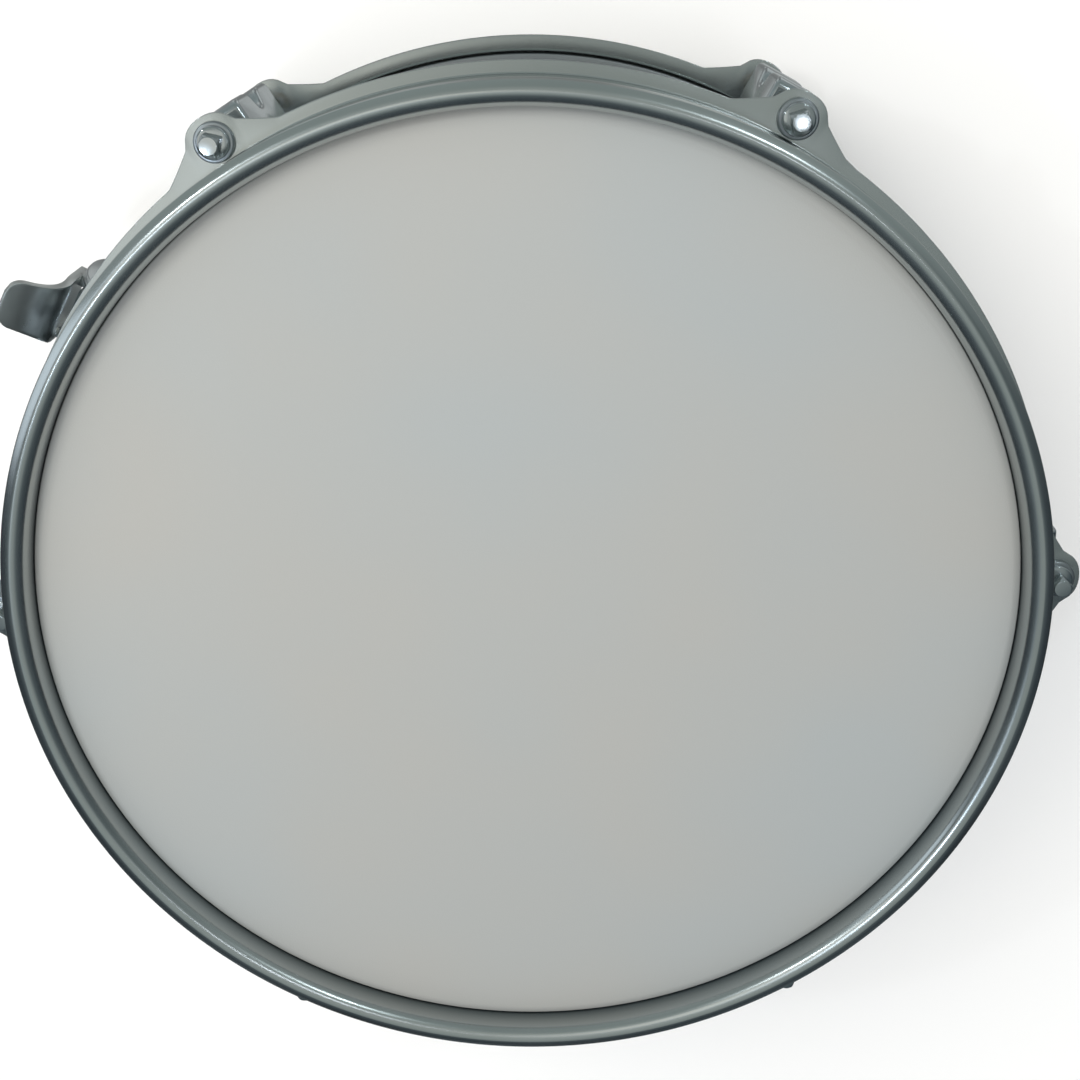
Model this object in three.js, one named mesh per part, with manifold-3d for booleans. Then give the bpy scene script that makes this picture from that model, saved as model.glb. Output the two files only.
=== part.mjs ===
// A 14 by 5.5 inch marching snare drum, standing on its snare-side hoop.
// Millimetres, +Z up, origin on the drum's axis at the level of its foot.
import * as THREE from 'three';
import { mergeVertices } from 'three/addons/utils/BufferGeometryUtils.js';
import Module from 'manifold-3d';

const wasm = await Module();
wasm.setup();

// Fits: seatGap lies between pieces that rest on each other, turnGap round what turns or slides
const seatGap = 0.3;
const turnGap = 0.3;
const overrun = 1;

// Shell: steel sheet, both ends bent in at 45 degrees to make the bearing edges
const shellDiameter = 353;
const shellDepth = 140;
const shellWall = 1.2;
const edgeInset = 4;
const snareBedDepth = 1.5;
const snareBedLength = 110;

// Heads: film, collar over the shell's edge, aluminium flesh hoop
const batterFilm = 0.4;
const snareFilm = 0.3;
const collarDrop = 6;
const filmGrip = 5;
const fleshClearance = 1;
const fleshInnerWall = 1;
const fleshWidth = 8;
const fleshHeight = 8;

// Hoops: one steel sheet, lip over the head, shoulder on the flesh hoop, flange with ears
const hoopSheet = 1.6;
const hoopRise = 11;
const hoopHeight = 27;
const lipWidth = 9.2;
const lipRadius = 4.2;
const lipCrest = 2;
const lipFall = 1.7;
const collarClearance = 0.9;
const flangeWidth = 5;
const earReach = 9.2;
const earCrownWidth = 15;
const earRootWidth = 46;
const earShoulderShare = 0.75;
const earNeckShare = 1.3;
const earReachShare = 1 / 3;
const outerArcShares = [0, 0.35, 0.7, 1];
const innerArcShares = [0, 1];
const gateWidth = 40;
const gateRoom = 2.1;

// Tension rods and washers
const rodDiameter = 5.8;
const rodTail = 1.4;
const rodTip = 0.8;
const rodHeadSide = 6.35;
const rodHeadHeight = 7.5;
const rodHeadChamfer = 0.8;
const rodFlangeDiameter = 11.5;
const rodFlangeHeight = 1.8;
const washerDiameter = 14;
const washerThickness = 1.3;
const washerRoom = 1;

// Lug casings and their swivel nuts
const lugHeight = 60;
const lugWidth = 17;
const lugOuterWall = 2.2;
const lugEndHeight = 17;
const lugWaist = 7;
const lugRounding = 3;
const lugBevel = 1.2;
const lugEndWall = 2.6;
const lugScrewSpacing = 16;
const nutNeckDiameter = 9;
const nutCollarDiameter = 12;
const nutLength = 13;
const nutProud = 0.6;

// Screws that come through the shell from inside
const studDiameter = 4.4;
const studHeadDiameter = 8;
const studHeadHeight = 2.2;
const studBite = 2;

// Air vent
const ventBore = 10;
const ventBarrelWall = 1.1;
const ventFlangeDiameter = 17;
const ventFlangeThickness = 1;

// Snare wires: strands soldered to two end plates
const strandDiameter = 2.2;
const strandGap = 0.1;
const snareInset = 11.5;
const endPlateLength = 12;
const endPlateThickness = 1.3;
const endPlateMargin = 1.4;
const strapWidth = 18;
const strapThickness = 0.5;
const strapOverlap = 9;
const strapBend = 3.6;
const strapClearance = 1.6;
const strapProud = 0.5;

// Strainer housing: back plate, two cheeks with a rail each, pivot pin
const housingEar = 5.4;
const housingFoot = 20;
const housingHead = 9;
const housingPlate = 3.5;
const housingCorner = 5;
const channelWidth = 29.2;
const cheekThickness = 4;
const cheekLap = 7.4;
const cheekFoot = 12;
const cheekHead = 4;
const cheekCrownShare = 1 / 3;
const cheekHeelShare = 1 / 4;
const railReach = 2.6;
const railDepth = 2;
const screwBelowPivot = 3;
const screwEdge = 6;

// Strainer lever: two cams on the pivot, curved handle with a flared tip
const pivotDiameter = 4.4;
const pivotDepth = 15.1;
const pivotHeight = 63;
const pinHead = 1.2;
const camLift = 12;
const throwDistance = 7;
const hubRadius = 5;
const camThickness = 4.5;
const leverSideGap = 0.6;
const leverTaper = 4.5;
const leverSheet = 3.2;
const leverStandoff = 8;
const leverFoot = 2;
const leverStem = 23;
const leverRise = 40;
const leverFlare = 20;
const leverTipRounding = 6;

// Strainer carriage, tension knob and clamp block
const slabThickness = 3.4;
const slabRise = 11.1;
const slabDrop = 8.3;
const shelfThickness = 4.6;
const shelfLap = 6;
const shelfMargin = 3;
const towerDiameter = 9.2;
const towerHeight = 17.1;
const towerSetback = 1.2;
const tensionScrewDiameter = 4;
const knobDiameter = 15;
const knobHeight = 10;
const knobFluteDepth = 0.7;
const knobNeckHeight = 1.6;
const knobNeckDiameter = 11;
const knobChamfer = 0.8;
const clampTravel = 3;
const clampHeight = 10;
const clampNeck = 2.2;
const clampBlockRise = 1.8;
const clampNoseHeight = 8;
const clampNoseRoom = 0.6;
const clampNoseWidth = 12;
const clampNoseWall = 2.2;
const clampPlateThickness = 2.4;
const clampCorner = 2.5;
const clampMargin = 4;
const clampScrewGap = 0.6;
const clampScrewDiameter = 2.8;
const clampScrewHead = 4.8;
const clampScrewHeadHeight = 1.6;

// Butt plate
const buttHead = 20;
const buttEar = 4;
const buttScrewEdge = 9;

// Counts and angles
const lugCount = 6;
const strandCount = 20;
const ringSides = 48;
const smallSides = 10;
const holeSides = 8;
const strandSides = 5;
const knobFlutes = 16;
const curveSteps = 3;
const camSteps = 6;
const strainerAngle = -Math.PI / 6;
const ventAngle = Math.PI / 2;
const leverTravel = THREE.MathUtils.degToRad(100);
const hubFrom = THREE.MathUtils.degToRad(162);
const hubTo = THREE.MathUtils.degToRad(306);

// Places worked out from the sizes above
const shellRadius = shellDiameter / 2;
const facetCosine = Math.cos(Math.PI / ringSides);
const shellFlat = shellRadius * facetCosine;
const shellInnerFlat = (shellRadius - shellWall) * facetCosine;
const snareHeadFace = hoopRise;
const shellBottom = snareHeadFace + snareFilm + seatGap;
const shellTop = shellBottom + shellDepth;
const shellMiddle = (shellBottom + shellTop) / 2;
const batterHeadFace = shellTop + seatGap + batterFilm;
const fleshInner = shellRadius + fleshClearance;
const filmCollar = fleshInner + fleshInnerWall + seatGap;
const fleshOuter = fleshInner + fleshWidth;
const fleshTop = -collarDrop - seatGap;
const hoopInner = filmCollar + Math.max(batterFilm, snareFilm) + seatGap * 2;
const hoopCollar = fleshOuter + collarClearance;
const flangeUnder = hoopRise - hoopHeight;
const flangeTop = flangeUnder + hoopSheet;
const flangeOuter = hoopCollar + hoopSheet + flangeWidth;
const rodCircle = hoopCollar + hoopSheet + washerRoom + washerDiameter / 2;
const rodSeat = flangeTop + seatGap + washerThickness + seatGap;
const nutInnerEnd = lugHeight / 2 + nutProud - nutLength;
const rodLength = batterHeadFace + rodSeat - (shellMiddle + nutInnerEnd) + rodTail;
const mountFace = shellFlat + seatGap;
const strandPitch = strandDiameter + strandGap;
const snareLength = (shellRadius - snareInset) * 2;
const strandLevel = snareHeadFace - seatGap - strandDiameter / 2;
const strapUnder = strandLevel - endPlateThickness - seatGap - strapThickness;
const gateSill = strapUnder - gateRoom;
const strapOut = fleshOuter + strapClearance;
const clampInner = strapOut - turnGap;
const clampOuter = strapOut + strapThickness + turnGap;

// Places of the strainer, outwards from the shell and upwards from the foot
const plateFace = mountFace + housingPlate;
const slabBack = plateFace + turnGap;
const slabFront = slabBack + slabThickness;
const slabInside = slabBack + slabThickness / 2;
const slabHalf = channelWidth / 2 - turnGap;
const tensionScrewOut = slabFront + towerSetback + towerDiameter / 2;
const pivotOut = plateFace + pivotDepth;
const cheekFront = pivotOut + cheekLap;
const leverFront = pivotOut + leverStandoff;
const leverTipOut = leverFront + leverFlare;
const leverHalf = channelWidth / 2 - leverSideGap;
const shelfReach = pivotOut + shelfLap;
const shelfUnder = pivotHeight + camLift + turnGap;
const shelfTop = shelfUnder + shelfThickness;
const towerTop = shelfTop + towerHeight;
const carriageTop = shelfTop + slabRise;
const carriageBottom = shelfUnder - slabDrop;
const housingBottom = pivotHeight - housingFoot;
const housingTop = carriageTop + housingHead;
const housingWidth = channelWidth + 2 * (cheekThickness + housingEar);
const cheekBottom = pivotHeight - cheekFoot;
const cheekTop = carriageTop + cheekHead;
const housingScrewLow = pivotHeight - screwBelowPivot;
const housingScrewHigh = housingTop - screwEdge;
const clampNoseTop = pivotHeight - pivotDiameter / 2 - clampTravel - clampNoseRoom;
const clampNoseBottom = clampNoseTop - clampNoseHeight;
const clampTop = clampNoseBottom - clampNeck;
const clampBottom = clampTop - clampHeight;
const clampScrewOffset = (strapWidth + clampScrewDiameter) / 2 + clampScrewGap;
const clampWidth = (clampScrewOffset + clampMargin) * 2;
const tensionScrewBottom = clampTop + clampTravel + clampNoseRoom;
const strapEnd = clampTop + strapProud;
const buttTop = clampTop + buttHead;
const buttScrewHeight = buttTop - buttScrewEdge;

const chrome = { color: 0xb8bec1, roughness: 0.16, metalness: 1 };
const steel = { color: 0x9fa4a6, roughness: 0.3, metalness: 1 };
const finishes = {
  shell: chrome,
  hoop: chrome,
  coatedFilm: { color: 0xb7b7b5, roughness: 0.75, metalness: 0 },
  clearFilm: { color: 0xd5dadb, roughness: 0.25, metalness: 0 },
  aluminium: { color: 0xaeb1b3, roughness: 0.4, metalness: 1 },
  rod: chrome,
  washer: steel,
  casting: chrome,
  brass: { color: 0xb08d57, roughness: 0.35, metalness: 1 },
  wire: steel,
  strap: { color: 0xe6e6e2, roughness: 0.6, metalness: 0 },
  grommet: chrome,
};

// Merged and cleaned copy of a geometry, its faces turned outwards
function closed(geometry) {
  const bare = geometry.index ? geometry.toNonIndexed() : geometry.clone();
  bare.deleteAttribute('normal');
  bare.deleteAttribute('uv');
  const merged = mergeVertices(bare);
  const source = merged.index.array;
  const place = merged.attributes.position;
  const a = new THREE.Vector3();
  const b = new THREE.Vector3();
  const c = new THREE.Vector3();
  const kept = [];
  let volume = 0;
  for (let i = 0; i < source.length; i += 3) {
    const [p, q, r] = [source[i], source[i + 1], source[i + 2]];
    if (p === q || q === r || r === p) continue;
    a.fromBufferAttribute(place, p);
    b.fromBufferAttribute(place, q);
    c.fromBufferAttribute(place, r);
    volume += a.dot(b.cross(c));
    kept.push(p, q, r);
  }
  if (volume < 0) kept.reverse();
  merged.setIndex(kept);
  return merged;
}

function solid(geometry) {
  const clean = closed(geometry);
  const vertProperties = new Float32Array(clean.attributes.position.array);
  const triVerts = new Uint32Array(clean.index.array);
  return new wasm.Manifold(new wasm.Mesh({ numProp: 3, vertProperties, triVerts }));
}

function surface(body) {
  const mesh = body.getMesh();
  const geometry = new THREE.BufferGeometry();
  geometry.setAttribute('position', new THREE.BufferAttribute(mesh.vertProperties, 3));
  geometry.setIndex(new THREE.BufferAttribute(mesh.triVerts, 1));
  return geometry;
}

function joined(first, ...others) {
  return surface(others.reduce((sum, next) => sum.add(solid(next)), solid(first)));
}

function less(first, ...others) {
  return surface(others.reduce((rest, next) => rest.subtract(solid(next)), solid(first)));
}

// A turned piece about +Z from (radius, height) pairs; a ring closes on itself
function turned(pairs, sides, phase = 0) {
  const points = pairs.map(([radius, height]) => new THREE.Vector2(radius, height));
  const geometry = new THREE.LatheGeometry(points, sides, phase, Math.PI * 2);
  return closed(geometry.rotateX(Math.PI / 2));
}

// The large rings have a flat facet at every lug and at the strainer
const ring = (pairs) => turned([...pairs, pairs[0]], ringSides, Math.PI / ringSides);
const disc = (pairs) => turned(pairs, ringSides, Math.PI / ringSides);

function rod(radius, bottom, top, sides = smallSides) {
  return turned([[0, bottom], [radius, bottom], [radius, top], [0, top]], sides);
}

// Two limits, the lower one first
function span(first, second) {
  return [Math.min(first, second), Math.max(first, second)];
}

function block(x0, x1, y0, y1, z0, z1) {
  const box = new THREE.BoxGeometry(x1 - x0, y1 - y0, z1 - z0);
  return box.translate((x0 + x1) / 2, (y0 + y1) / 2, (z0 + z1) / 2);
}

// An outline in the radial (x) and vertical (z) plane, made as thick as y0 to y1
function sideplate(shape, y0, y1, bevel = 0) {
  const geometry = new THREE.ExtrudeGeometry(shape, {
    depth: y1 - y0 - 2 * bevel,
    bevelEnabled: bevel > 0,
    bevelThickness: bevel,
    bevelSize: bevel,
    bevelOffset: -bevel,
    bevelSegments: 1,
    curveSegments: curveSteps,
  });
  return closed(geometry.rotateX(Math.PI / 2).translate(0, y1 - bevel, 0));
}

// An outline in the tangential (y) and vertical (z) plane, made as deep as x0 to x1
function frontplate(shape, x0, x1) {
  const geometry = new THREE.ExtrudeGeometry(shape, {
    depth: x1 - x0,
    bevelEnabled: false,
    curveSegments: curveSteps,
  });
  return closed(geometry.rotateX(Math.PI / 2).rotateZ(Math.PI / 2).translate(x0, 0, 0));
}

function roundedPanel(width, bottom, top, corner) {
  const half = width / 2;
  const shape = new THREE.Shape();
  shape.moveTo(-half, bottom + corner);
  shape.quadraticCurveTo(-half, bottom, corner - half, bottom);
  shape.lineTo(half - corner, bottom);
  shape.quadraticCurveTo(half, bottom, half, bottom + corner);
  shape.lineTo(half, top - corner);
  shape.quadraticCurveTo(half, top, half - corner, top);
  shape.lineTo(corner - half, top);
  shape.quadraticCurveTo(-half, top, -half, top - corner);
  return shape;
}

// A screw from inside the shell into a casting on its outside, along the radius at one height
function shellStud(height, reach = mountFace + studBite) {
  const headFace = shellInnerFlat - seatGap;
  const profile = [
    [0, headFace - studHeadHeight],
    [studHeadDiameter / 2, headFace - studHeadHeight],
    [studHeadDiameter / 2, headFace],
    [studDiameter / 2, headFace],
    [studDiameter / 2, reach],
    [0, reach],
  ];
  return turned(profile, holeSides).rotateY(Math.PI / 2).translate(0, 0, height);
}

// A hole along the radius, wide enough at its flats for a round of the given diameter
function radialHole(diameter, height, x0, x1, sides = holeSides) {
  const radius = (diameter / 2 + turnGap) / Math.cos(Math.PI / sides);
  return rod(radius, x0, x1, sides).rotateY(Math.PI / 2).translate(0, 0, height);
}

function uprightHole(diameter, x, y, bottom, top, sides = smallSides) {
  const radius = (diameter / 2 + turnGap) / Math.cos(Math.PI / sides);
  return rod(radius, bottom, top, sides).translate(x, y, 0);
}

function crossHole(diameter, x, z, y0, y1, sides = smallSides) {
  const radius = (diameter / 2 + turnGap) / Math.cos(Math.PI / sides);
  return rod(radius, -y1, -y0, sides).rotateX(Math.PI / 2).translate(x, 0, z);
}

// A snare bed is a shallow dip of the lower edge where the snare straps cross it
function snareBed(angle) {
  const halfAngle = snareBedLength / 2 / shellRadius;
  const turn = Math.abs(Math.atan2(Math.sin(2 * angle), Math.cos(2 * angle)) / 2);
  return turn < halfAngle ? snareBedDepth * Math.cos((turn / halfAngle) * Math.PI / 2) ** 2 : 0;
}

function shellGeometry() {
  const wallRun = edgeInset + shellWall;
  const lipRun = shellWall * Math.SQRT2;
  const inner = shellRadius - shellWall;
  const bend = shellWall * Math.tan(Math.PI / 8);
  const tube = ring([
    [shellRadius, shellBottom + edgeInset],
    [shellRadius, shellTop - edgeInset],
    [shellRadius - edgeInset, shellTop],
    [shellRadius - edgeInset - lipRun, shellTop],
    [inner, shellTop - edgeInset - bend],
    [inner, shellBottom + edgeInset + bend],
    [shellRadius - edgeInset - lipRun, shellBottom],
    [shellRadius - edgeInset, shellBottom],
  ]);
  const place = tube.attributes.position;
  for (let i = 0; i < place.count; i += 1) {
    if (place.getZ(i) > shellBottom + seatGap) continue;
    const angle = Math.atan2(place.getY(i), place.getX(i)) - strainerAngle;
    place.setZ(i, place.getZ(i) + snareBed(angle));
  }
  const holes = [];
  const drill = (angle, height, diameter) => {
    const hole = radialHole(diameter, height, inner - wallRun, shellRadius + overrun);
    holes.push(hole.rotateZ(angle));
  };
  for (let i = 0; i < lugCount; i += 1) {
    const angle = (i / lugCount) * Math.PI * 2;
    drill(angle, shellMiddle + lugScrewSpacing / 2, studDiameter);
    drill(angle, shellMiddle - lugScrewSpacing / 2, studDiameter);
  }
  drill(strainerAngle, housingScrewLow, studDiameter);
  drill(strainerAngle, housingScrewHigh, studDiameter);
  drill(strainerAngle + Math.PI, buttScrewHeight, studDiameter);
  drill(ventAngle, shellMiddle, ventBore + 2 * ventBarrelWall);
  return less(tube, ...holes);
}

function ventGrommet() {
  const bore = ventBore / 2;
  const barrel = bore + ventBarrelWall;
  const flange = ventFlangeDiameter / 2;
  const outside = shellFlat + seatGap;
  const inside = shellInnerFlat - seatGap;
  const profile = [
    [bore, inside - ventFlangeThickness],
    [flange, inside - ventFlangeThickness],
    [flange, inside],
    [barrel, inside],
    [barrel, outside],
    [flange, outside],
    [flange, outside + ventFlangeThickness],
    [bore, outside + ventFlangeThickness],
  ];
  return turned([...profile, profile[0]], smallSides).rotateY(Math.PI / 2);
}

// Everything of one end of the drum is built in the end's own frame: the film's outer face at
// z = 0 and +z out of the drum
function headFilm(film) {
  const flatTo = shellRadius - edgeInset + seatGap;
  const drop = collarDrop / 2;
  const outer = filmCollar + film;
  const rim = fleshTop - filmGrip;
  return disc([
    [0, -film],
    [flatTo, -film],
    [filmCollar, -film - drop],
    [filmCollar, rim],
    [outer, rim],
    [outer, -drop],
    [flatTo, 0],
    [0, 0],
  ]);
}

function fleshHoop(film) {
  const slotInner = fleshInner + fleshInnerWall;
  const slotOuter = filmCollar + film + seatGap;
  const slotFloor = fleshTop - filmGrip - seatGap;
  return ring([
    [fleshInner, fleshTop - fleshHeight],
    [fleshOuter, fleshTop - fleshHeight],
    [fleshOuter, fleshTop],
    [slotOuter, fleshTop],
    [slotOuter, slotFloor],
    [slotInner, slotFloor],
    [slotInner, fleshTop],
    [fleshInner, fleshTop],
  ]);
}

// The hoop's section: inner wall, rolled lip, shoulder over the flesh hoop, collar, flange
function hoopSection() {
  const wallOuter = hoopInner + hoopSheet;
  const lipOuter = hoopInner + lipWidth;
  const shoulderTop = -collarDrop + hoopSheet;
  const outside = [];
  const inside = [];
  const centre = [hoopInner + lipRadius, hoopRise - lipRadius];
  const arc = (radius, share) => {
    const angle = Math.PI - share * Math.PI / 2;
    return [centre[0] + radius * Math.cos(angle), centre[1] + radius * Math.sin(angle)];
  };
  outerArcShares.forEach((share) => outside.push(arc(lipRadius, share)));
  innerArcShares.forEach((share) => inside.unshift(arc(lipRadius - hoopSheet, share)));
  return [
    [hoopInner, -collarDrop],
    ...outside,
    [centre[0] + lipCrest, hoopRise],
    [lipOuter, hoopRise - lipFall],
    [lipOuter - hoopSheet / 2, hoopRise - lipFall - hoopSheet],
    ...inside,
    [wallOuter, shoulderTop],
    [hoopCollar + hoopSheet, shoulderTop],
    [hoopCollar + hoopSheet, flangeTop],
    [flangeOuter, flangeTop],
    [flangeOuter, flangeUnder],
    [hoopCollar, flangeUnder],
    [hoopCollar, -collarDrop],
  ];
}

function earShape() {
  const root = earRootWidth / 2;
  const crown = earCrownWidth / 2;
  const tip = rodCircle + earReach;
  const heel = hoopCollar + hoopSheet / 2 - flangeWidth / 4;
  const start = Math.sqrt(flangeOuter ** 2 - root ** 2) - hoopSheet / 2;
  const hollow = [flangeOuter + flangeWidth / 4, root * earShoulderShare];
  const neck = [rodCircle + earReach * earReachShare, crown * earNeckShare];
  const shape = new THREE.Shape();
  shape.moveTo(heel, -root);
  shape.lineTo(start, -root);
  shape.quadraticCurveTo(hollow[0], -hollow[1], neck[0], -neck[1]);
  shape.quadraticCurveTo(tip, -crown, tip, 0);
  shape.quadraticCurveTo(tip, crown, neck[0], neck[1]);
  shape.quadraticCurveTo(hollow[0], hollow[1], start, root);
  shape.lineTo(heel, root);
  return shape;
}

function hoopGeometry(gateAngles) {
  const extrude = { depth: hoopSheet, bevelEnabled: false, curveSegments: curveSteps };
  const ear = new THREE.ExtrudeGeometry(earShape(), extrude).translate(0, 0, flangeUnder);
  const bore = ring([
    [fleshInner, flangeUnder - overrun],
    [hoopCollar, flangeUnder - overrun],
    [hoopCollar, flangeTop + overrun],
    [fleshInner, flangeTop + overrun],
  ]);
  const clipped = less(ear, bore);
  const hole = uprightHole(rodDiameter, rodCircle, 0, flangeUnder - overrun, flangeTop + overrun);
  let body = solid(ring(hoopSection()));
  for (let i = 0; i < lugCount; i += 1) {
    const angle = (i / lugCount) * Math.PI * 2;
    body = body.add(solid(clipped.clone().rotateZ(angle)));
    body = body.subtract(solid(hole.clone().rotateZ(angle)));
  }
  const reach = rodCircle + earReach + overrun;
  const side = gateWidth / 2;
  gateAngles.forEach((angle) => {
    const under = flangeUnder - overrun;
    const gate = block(shellRadius - edgeInset, reach, -side, side, under, hoopRise - gateSill);
    body = body.subtract(solid(gate.rotateZ(angle)));
  });
  return surface(body);
}

// A tension rod with its head up, its flange resting on a washer at rodSeat
function tensionRod() {
  const radius = rodDiameter / 2;
  const flange = rodFlangeDiameter / 2;
  const flangeFace = rodSeat + rodFlangeHeight;
  const end = rodSeat - rodLength;
  const shaft = turned([
    [0, end],
    [radius - rodTip, end],
    [radius, end + rodTip],
    [radius, rodSeat],
    [flange, rodSeat],
    [flange, flangeFace],
    [0, flangeFace],
  ], holeSides);
  const corner = rodHeadSide / Math.SQRT2;
  const top = flangeFace + rodHeadHeight;
  const head = turned([
    [0, rodSeat + rodFlangeHeight / 2],
    [corner, rodSeat + rodFlangeHeight / 2],
    [corner, top - rodHeadChamfer],
    [corner - rodHeadChamfer, top],
    [0, top],
  ], 4);
  return joined(shaft, head);
}

function washer() {
  const inner = (rodDiameter / 2 + turnGap) / Math.cos(Math.PI / smallSides);
  const bottom = flangeTop + seatGap;
  const profile = [
    [inner, bottom],
    [washerDiameter / 2, bottom],
    [washerDiameter / 2, bottom + washerThickness],
    [inner, bottom + washerThickness],
  ];
  return turned([...profile, profile[0]], smallSides);
}

// A swivel nut: its collar bears on the casing's end wall from inside, its neck comes through
function swivelNut() {
  const bore = (rodDiameter / 2 + turnGap) / Math.cos(Math.PI / holeSides);
  const neck = nutNeckDiameter / 2;
  const collar = nutCollarDiameter / 2;
  const top = lugHeight / 2 + nutProud;
  const shoulder = lugHeight / 2 - lugEndWall - seatGap;
  const profile = [
    [bore, top - nutLength],
    [collar, top - nutLength],
    [collar, shoulder],
    [neck, shoulder],
    [neck, top],
    [bore, top],
  ];
  return turned([...profile, profile[0]], holeSides);
}

// A cast lug casing, hollow from the back where its nuts lie, with its two screws
function lugCasing() {
  const half = lugHeight / 2;
  const outer = rodCircle + nutCollarDiameter / 2 + turnGap + lugOuterWall;
  const waist = outer - lugWaist;
  const endStart = half - lugEndHeight;
  const pull = lugEndHeight / 2;
  const shape = new THREE.Shape();
  shape.moveTo(mountFace, -half);
  shape.lineTo(outer - lugRounding, -half);
  shape.quadraticCurveTo(outer, -half, outer, lugRounding - half);
  shape.lineTo(outer, -endStart);
  shape.bezierCurveTo(outer, pull - endStart, waist, -pull, waist, 0);
  shape.bezierCurveTo(waist, pull, outer, endStart - pull, outer, endStart);
  shape.lineTo(outer, half - lugRounding);
  shape.quadraticCurveTo(outer, half, outer - lugRounding, half);
  shape.lineTo(mountFace, half);
  let body = solid(sideplate(shape, -lugWidth / 2, lugWidth / 2, lugBevel));
  const pocketHalf = nutCollarDiameter / 2 + turnGap;
  const pocketTop = half - lugEndWall;
  const pocketBottom = half - lugEndWall - nutLength - turnGap;
  const pocketFront = rodCircle + pocketHalf;
  [1, -1].forEach((end) => {
    const levels = span(end * pocketTop, end * pocketBottom);
    const pocket = block(mountFace - overrun, pocketFront, -pocketHalf, pocketHalf, ...levels);
    const mouth = span(end * (pocketTop - overrun), end * (half + overrun));
    body = body.subtract(solid(pocket));
    body = body.subtract(solid(uprightHole(nutNeckDiameter, rodCircle, 0, ...mouth)));
    body = body.add(solid(shellStud(end * lugScrewSpacing / 2)));
  });
  return surface(body);
}

// Strands with the two end plates, in the frame of the strainer's radius
function snareWires() {
  const half = snareLength / 2;
  const width = (strandCount - 1) * strandPitch + strandDiameter;
  const side = width / 2 + endPlateMargin;
  const under = strandLevel - endPlateThickness;
  let body = solid(block(half - endPlateLength, half, -side, side, under, strandLevel));
  body = body.add(solid(block(-half, endPlateLength - half, -side, side, under, strandLevel)));
  const reach = half - endPlateLength / 2;
  for (let i = 0; i < strandCount; i += 1) {
    const y = (i - (strandCount - 1) / 2) * strandPitch;
    const strand = rod(strandDiameter / 2, -reach, reach, strandSides).rotateY(Math.PI / 2);
    body = body.add(solid(strand.translate(0, y, strandLevel)));
  }
  return surface(body);
}

// A strap from under an end plate, out over the snare bed and up to its clamp
function snareStrap() {
  const start = snareLength / 2 - strapOverlap;
  const under = strapUnder;
  const upper = strapUnder + strapThickness;
  const face = strapOut;
  const outer = strapOut + strapThickness;
  const inner = strapBend - strapThickness;
  const shape = new THREE.Shape();
  shape.moveTo(start, under);
  shape.lineTo(outer - strapBend, under);
  shape.absarc(outer - strapBend, under + strapBend, strapBend, -Math.PI / 2, 0, false);
  shape.lineTo(outer, strapEnd);
  shape.lineTo(face, strapEnd);
  shape.lineTo(face, upper + inner);
  shape.absarc(face - inner, upper + inner, inner, 0, -Math.PI / 2, true);
  shape.lineTo(start, upper);
  return sideplate(shape, -strapWidth / 2, strapWidth / 2);
}

// What touches the shell is cut to the shell's own faces, one seat gap outside them
function shellSpace() {
  const radius = shellRadius + seatGap;
  return disc([[0, shellBottom], [radius, shellBottom], [radius, shellTop], [0, shellTop]]);
}

function strainerHousing() {
  const channel = channelWidth / 2;
  const cheekOuter = channel + cheekThickness;
  const front = cheekFront;
  const cheekDepth = front - plateFace;
  const panel = roundedPanel(housingWidth, housingBottom, housingTop, housingCorner);
  let body = solid(frontplate(panel, shellFlat - edgeInset, plateFace));
  const cheek = new THREE.Shape();
  const crown = [front - cheekDepth * cheekCrownShare, plateFace + cheekDepth * cheekHeelShare];
  cheek.moveTo(plateFace - housingPlate / 2, cheekBottom);
  cheek.lineTo(pivotOut, cheekBottom + railDepth);
  cheek.quadraticCurveTo(front, cheekBottom + railDepth, front, pivotHeight + hubRadius);
  cheek.bezierCurveTo(front, cheekTop - hubRadius, crown[0], cheekTop, crown[1], cheekTop);
  cheek.lineTo(plateFace - housingPlate / 2, cheekTop + hubRadius / 2);
  const railBack = slabFront + turnGap;
  const railBottom = cheekBottom + railDepth;
  const railTop = cheekTop - hubRadius;
  [1, -1].forEach((side) => {
    const rail = span(side * (channel - railReach), side * (channel + railDepth));
    body = body.add(solid(sideplate(cheek, ...span(side * channel, side * cheekOuter))));
    body = body.add(solid(block(railBack, railBack + railDepth, ...rail, railBottom, railTop)));
  });
  const pinEnd = cheekOuter + pinHead;
  const pin = rod(pivotDiameter / 2, -pinEnd, pinEnd).rotateX(Math.PI / 2);
  body = body.add(solid(pin.translate(pivotOut, 0, pivotHeight)));
  body = body.subtract(solid(shellSpace()));
  body = body.add(solid(shellStud(housingScrewLow)));
  body = body.add(solid(shellStud(housingScrewHigh)));
  return surface(body);
}

// The cams lift the carriage evenly with the lever's angle, so their outline is an involute
function camOutline() {
  const shape = new THREE.Shape();
  const rate = throwDistance / leverTravel;
  for (let i = 0; i <= camSteps; i += 1) {
    const angle = (i / camSteps) * leverTravel;
    const height = camLift - rate * angle;
    const x = rate * Math.cos(angle) - height * Math.sin(angle);
    const z = rate * Math.sin(angle) + height * Math.cos(angle);
    if (i === 0) shape.moveTo(pivotOut + x, pivotHeight + z);
    else shape.lineTo(pivotOut + x, pivotHeight + z);
  }
  shape.absarc(pivotOut, pivotHeight, hubRadius, hubFrom, hubTo, false);
  shape.lineTo(leverFront + leverSheet / 2, pivotHeight + leverFoot);
  shape.lineTo(leverFront + leverSheet / 2, pivotHeight + camLift);
  return shape;
}

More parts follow.
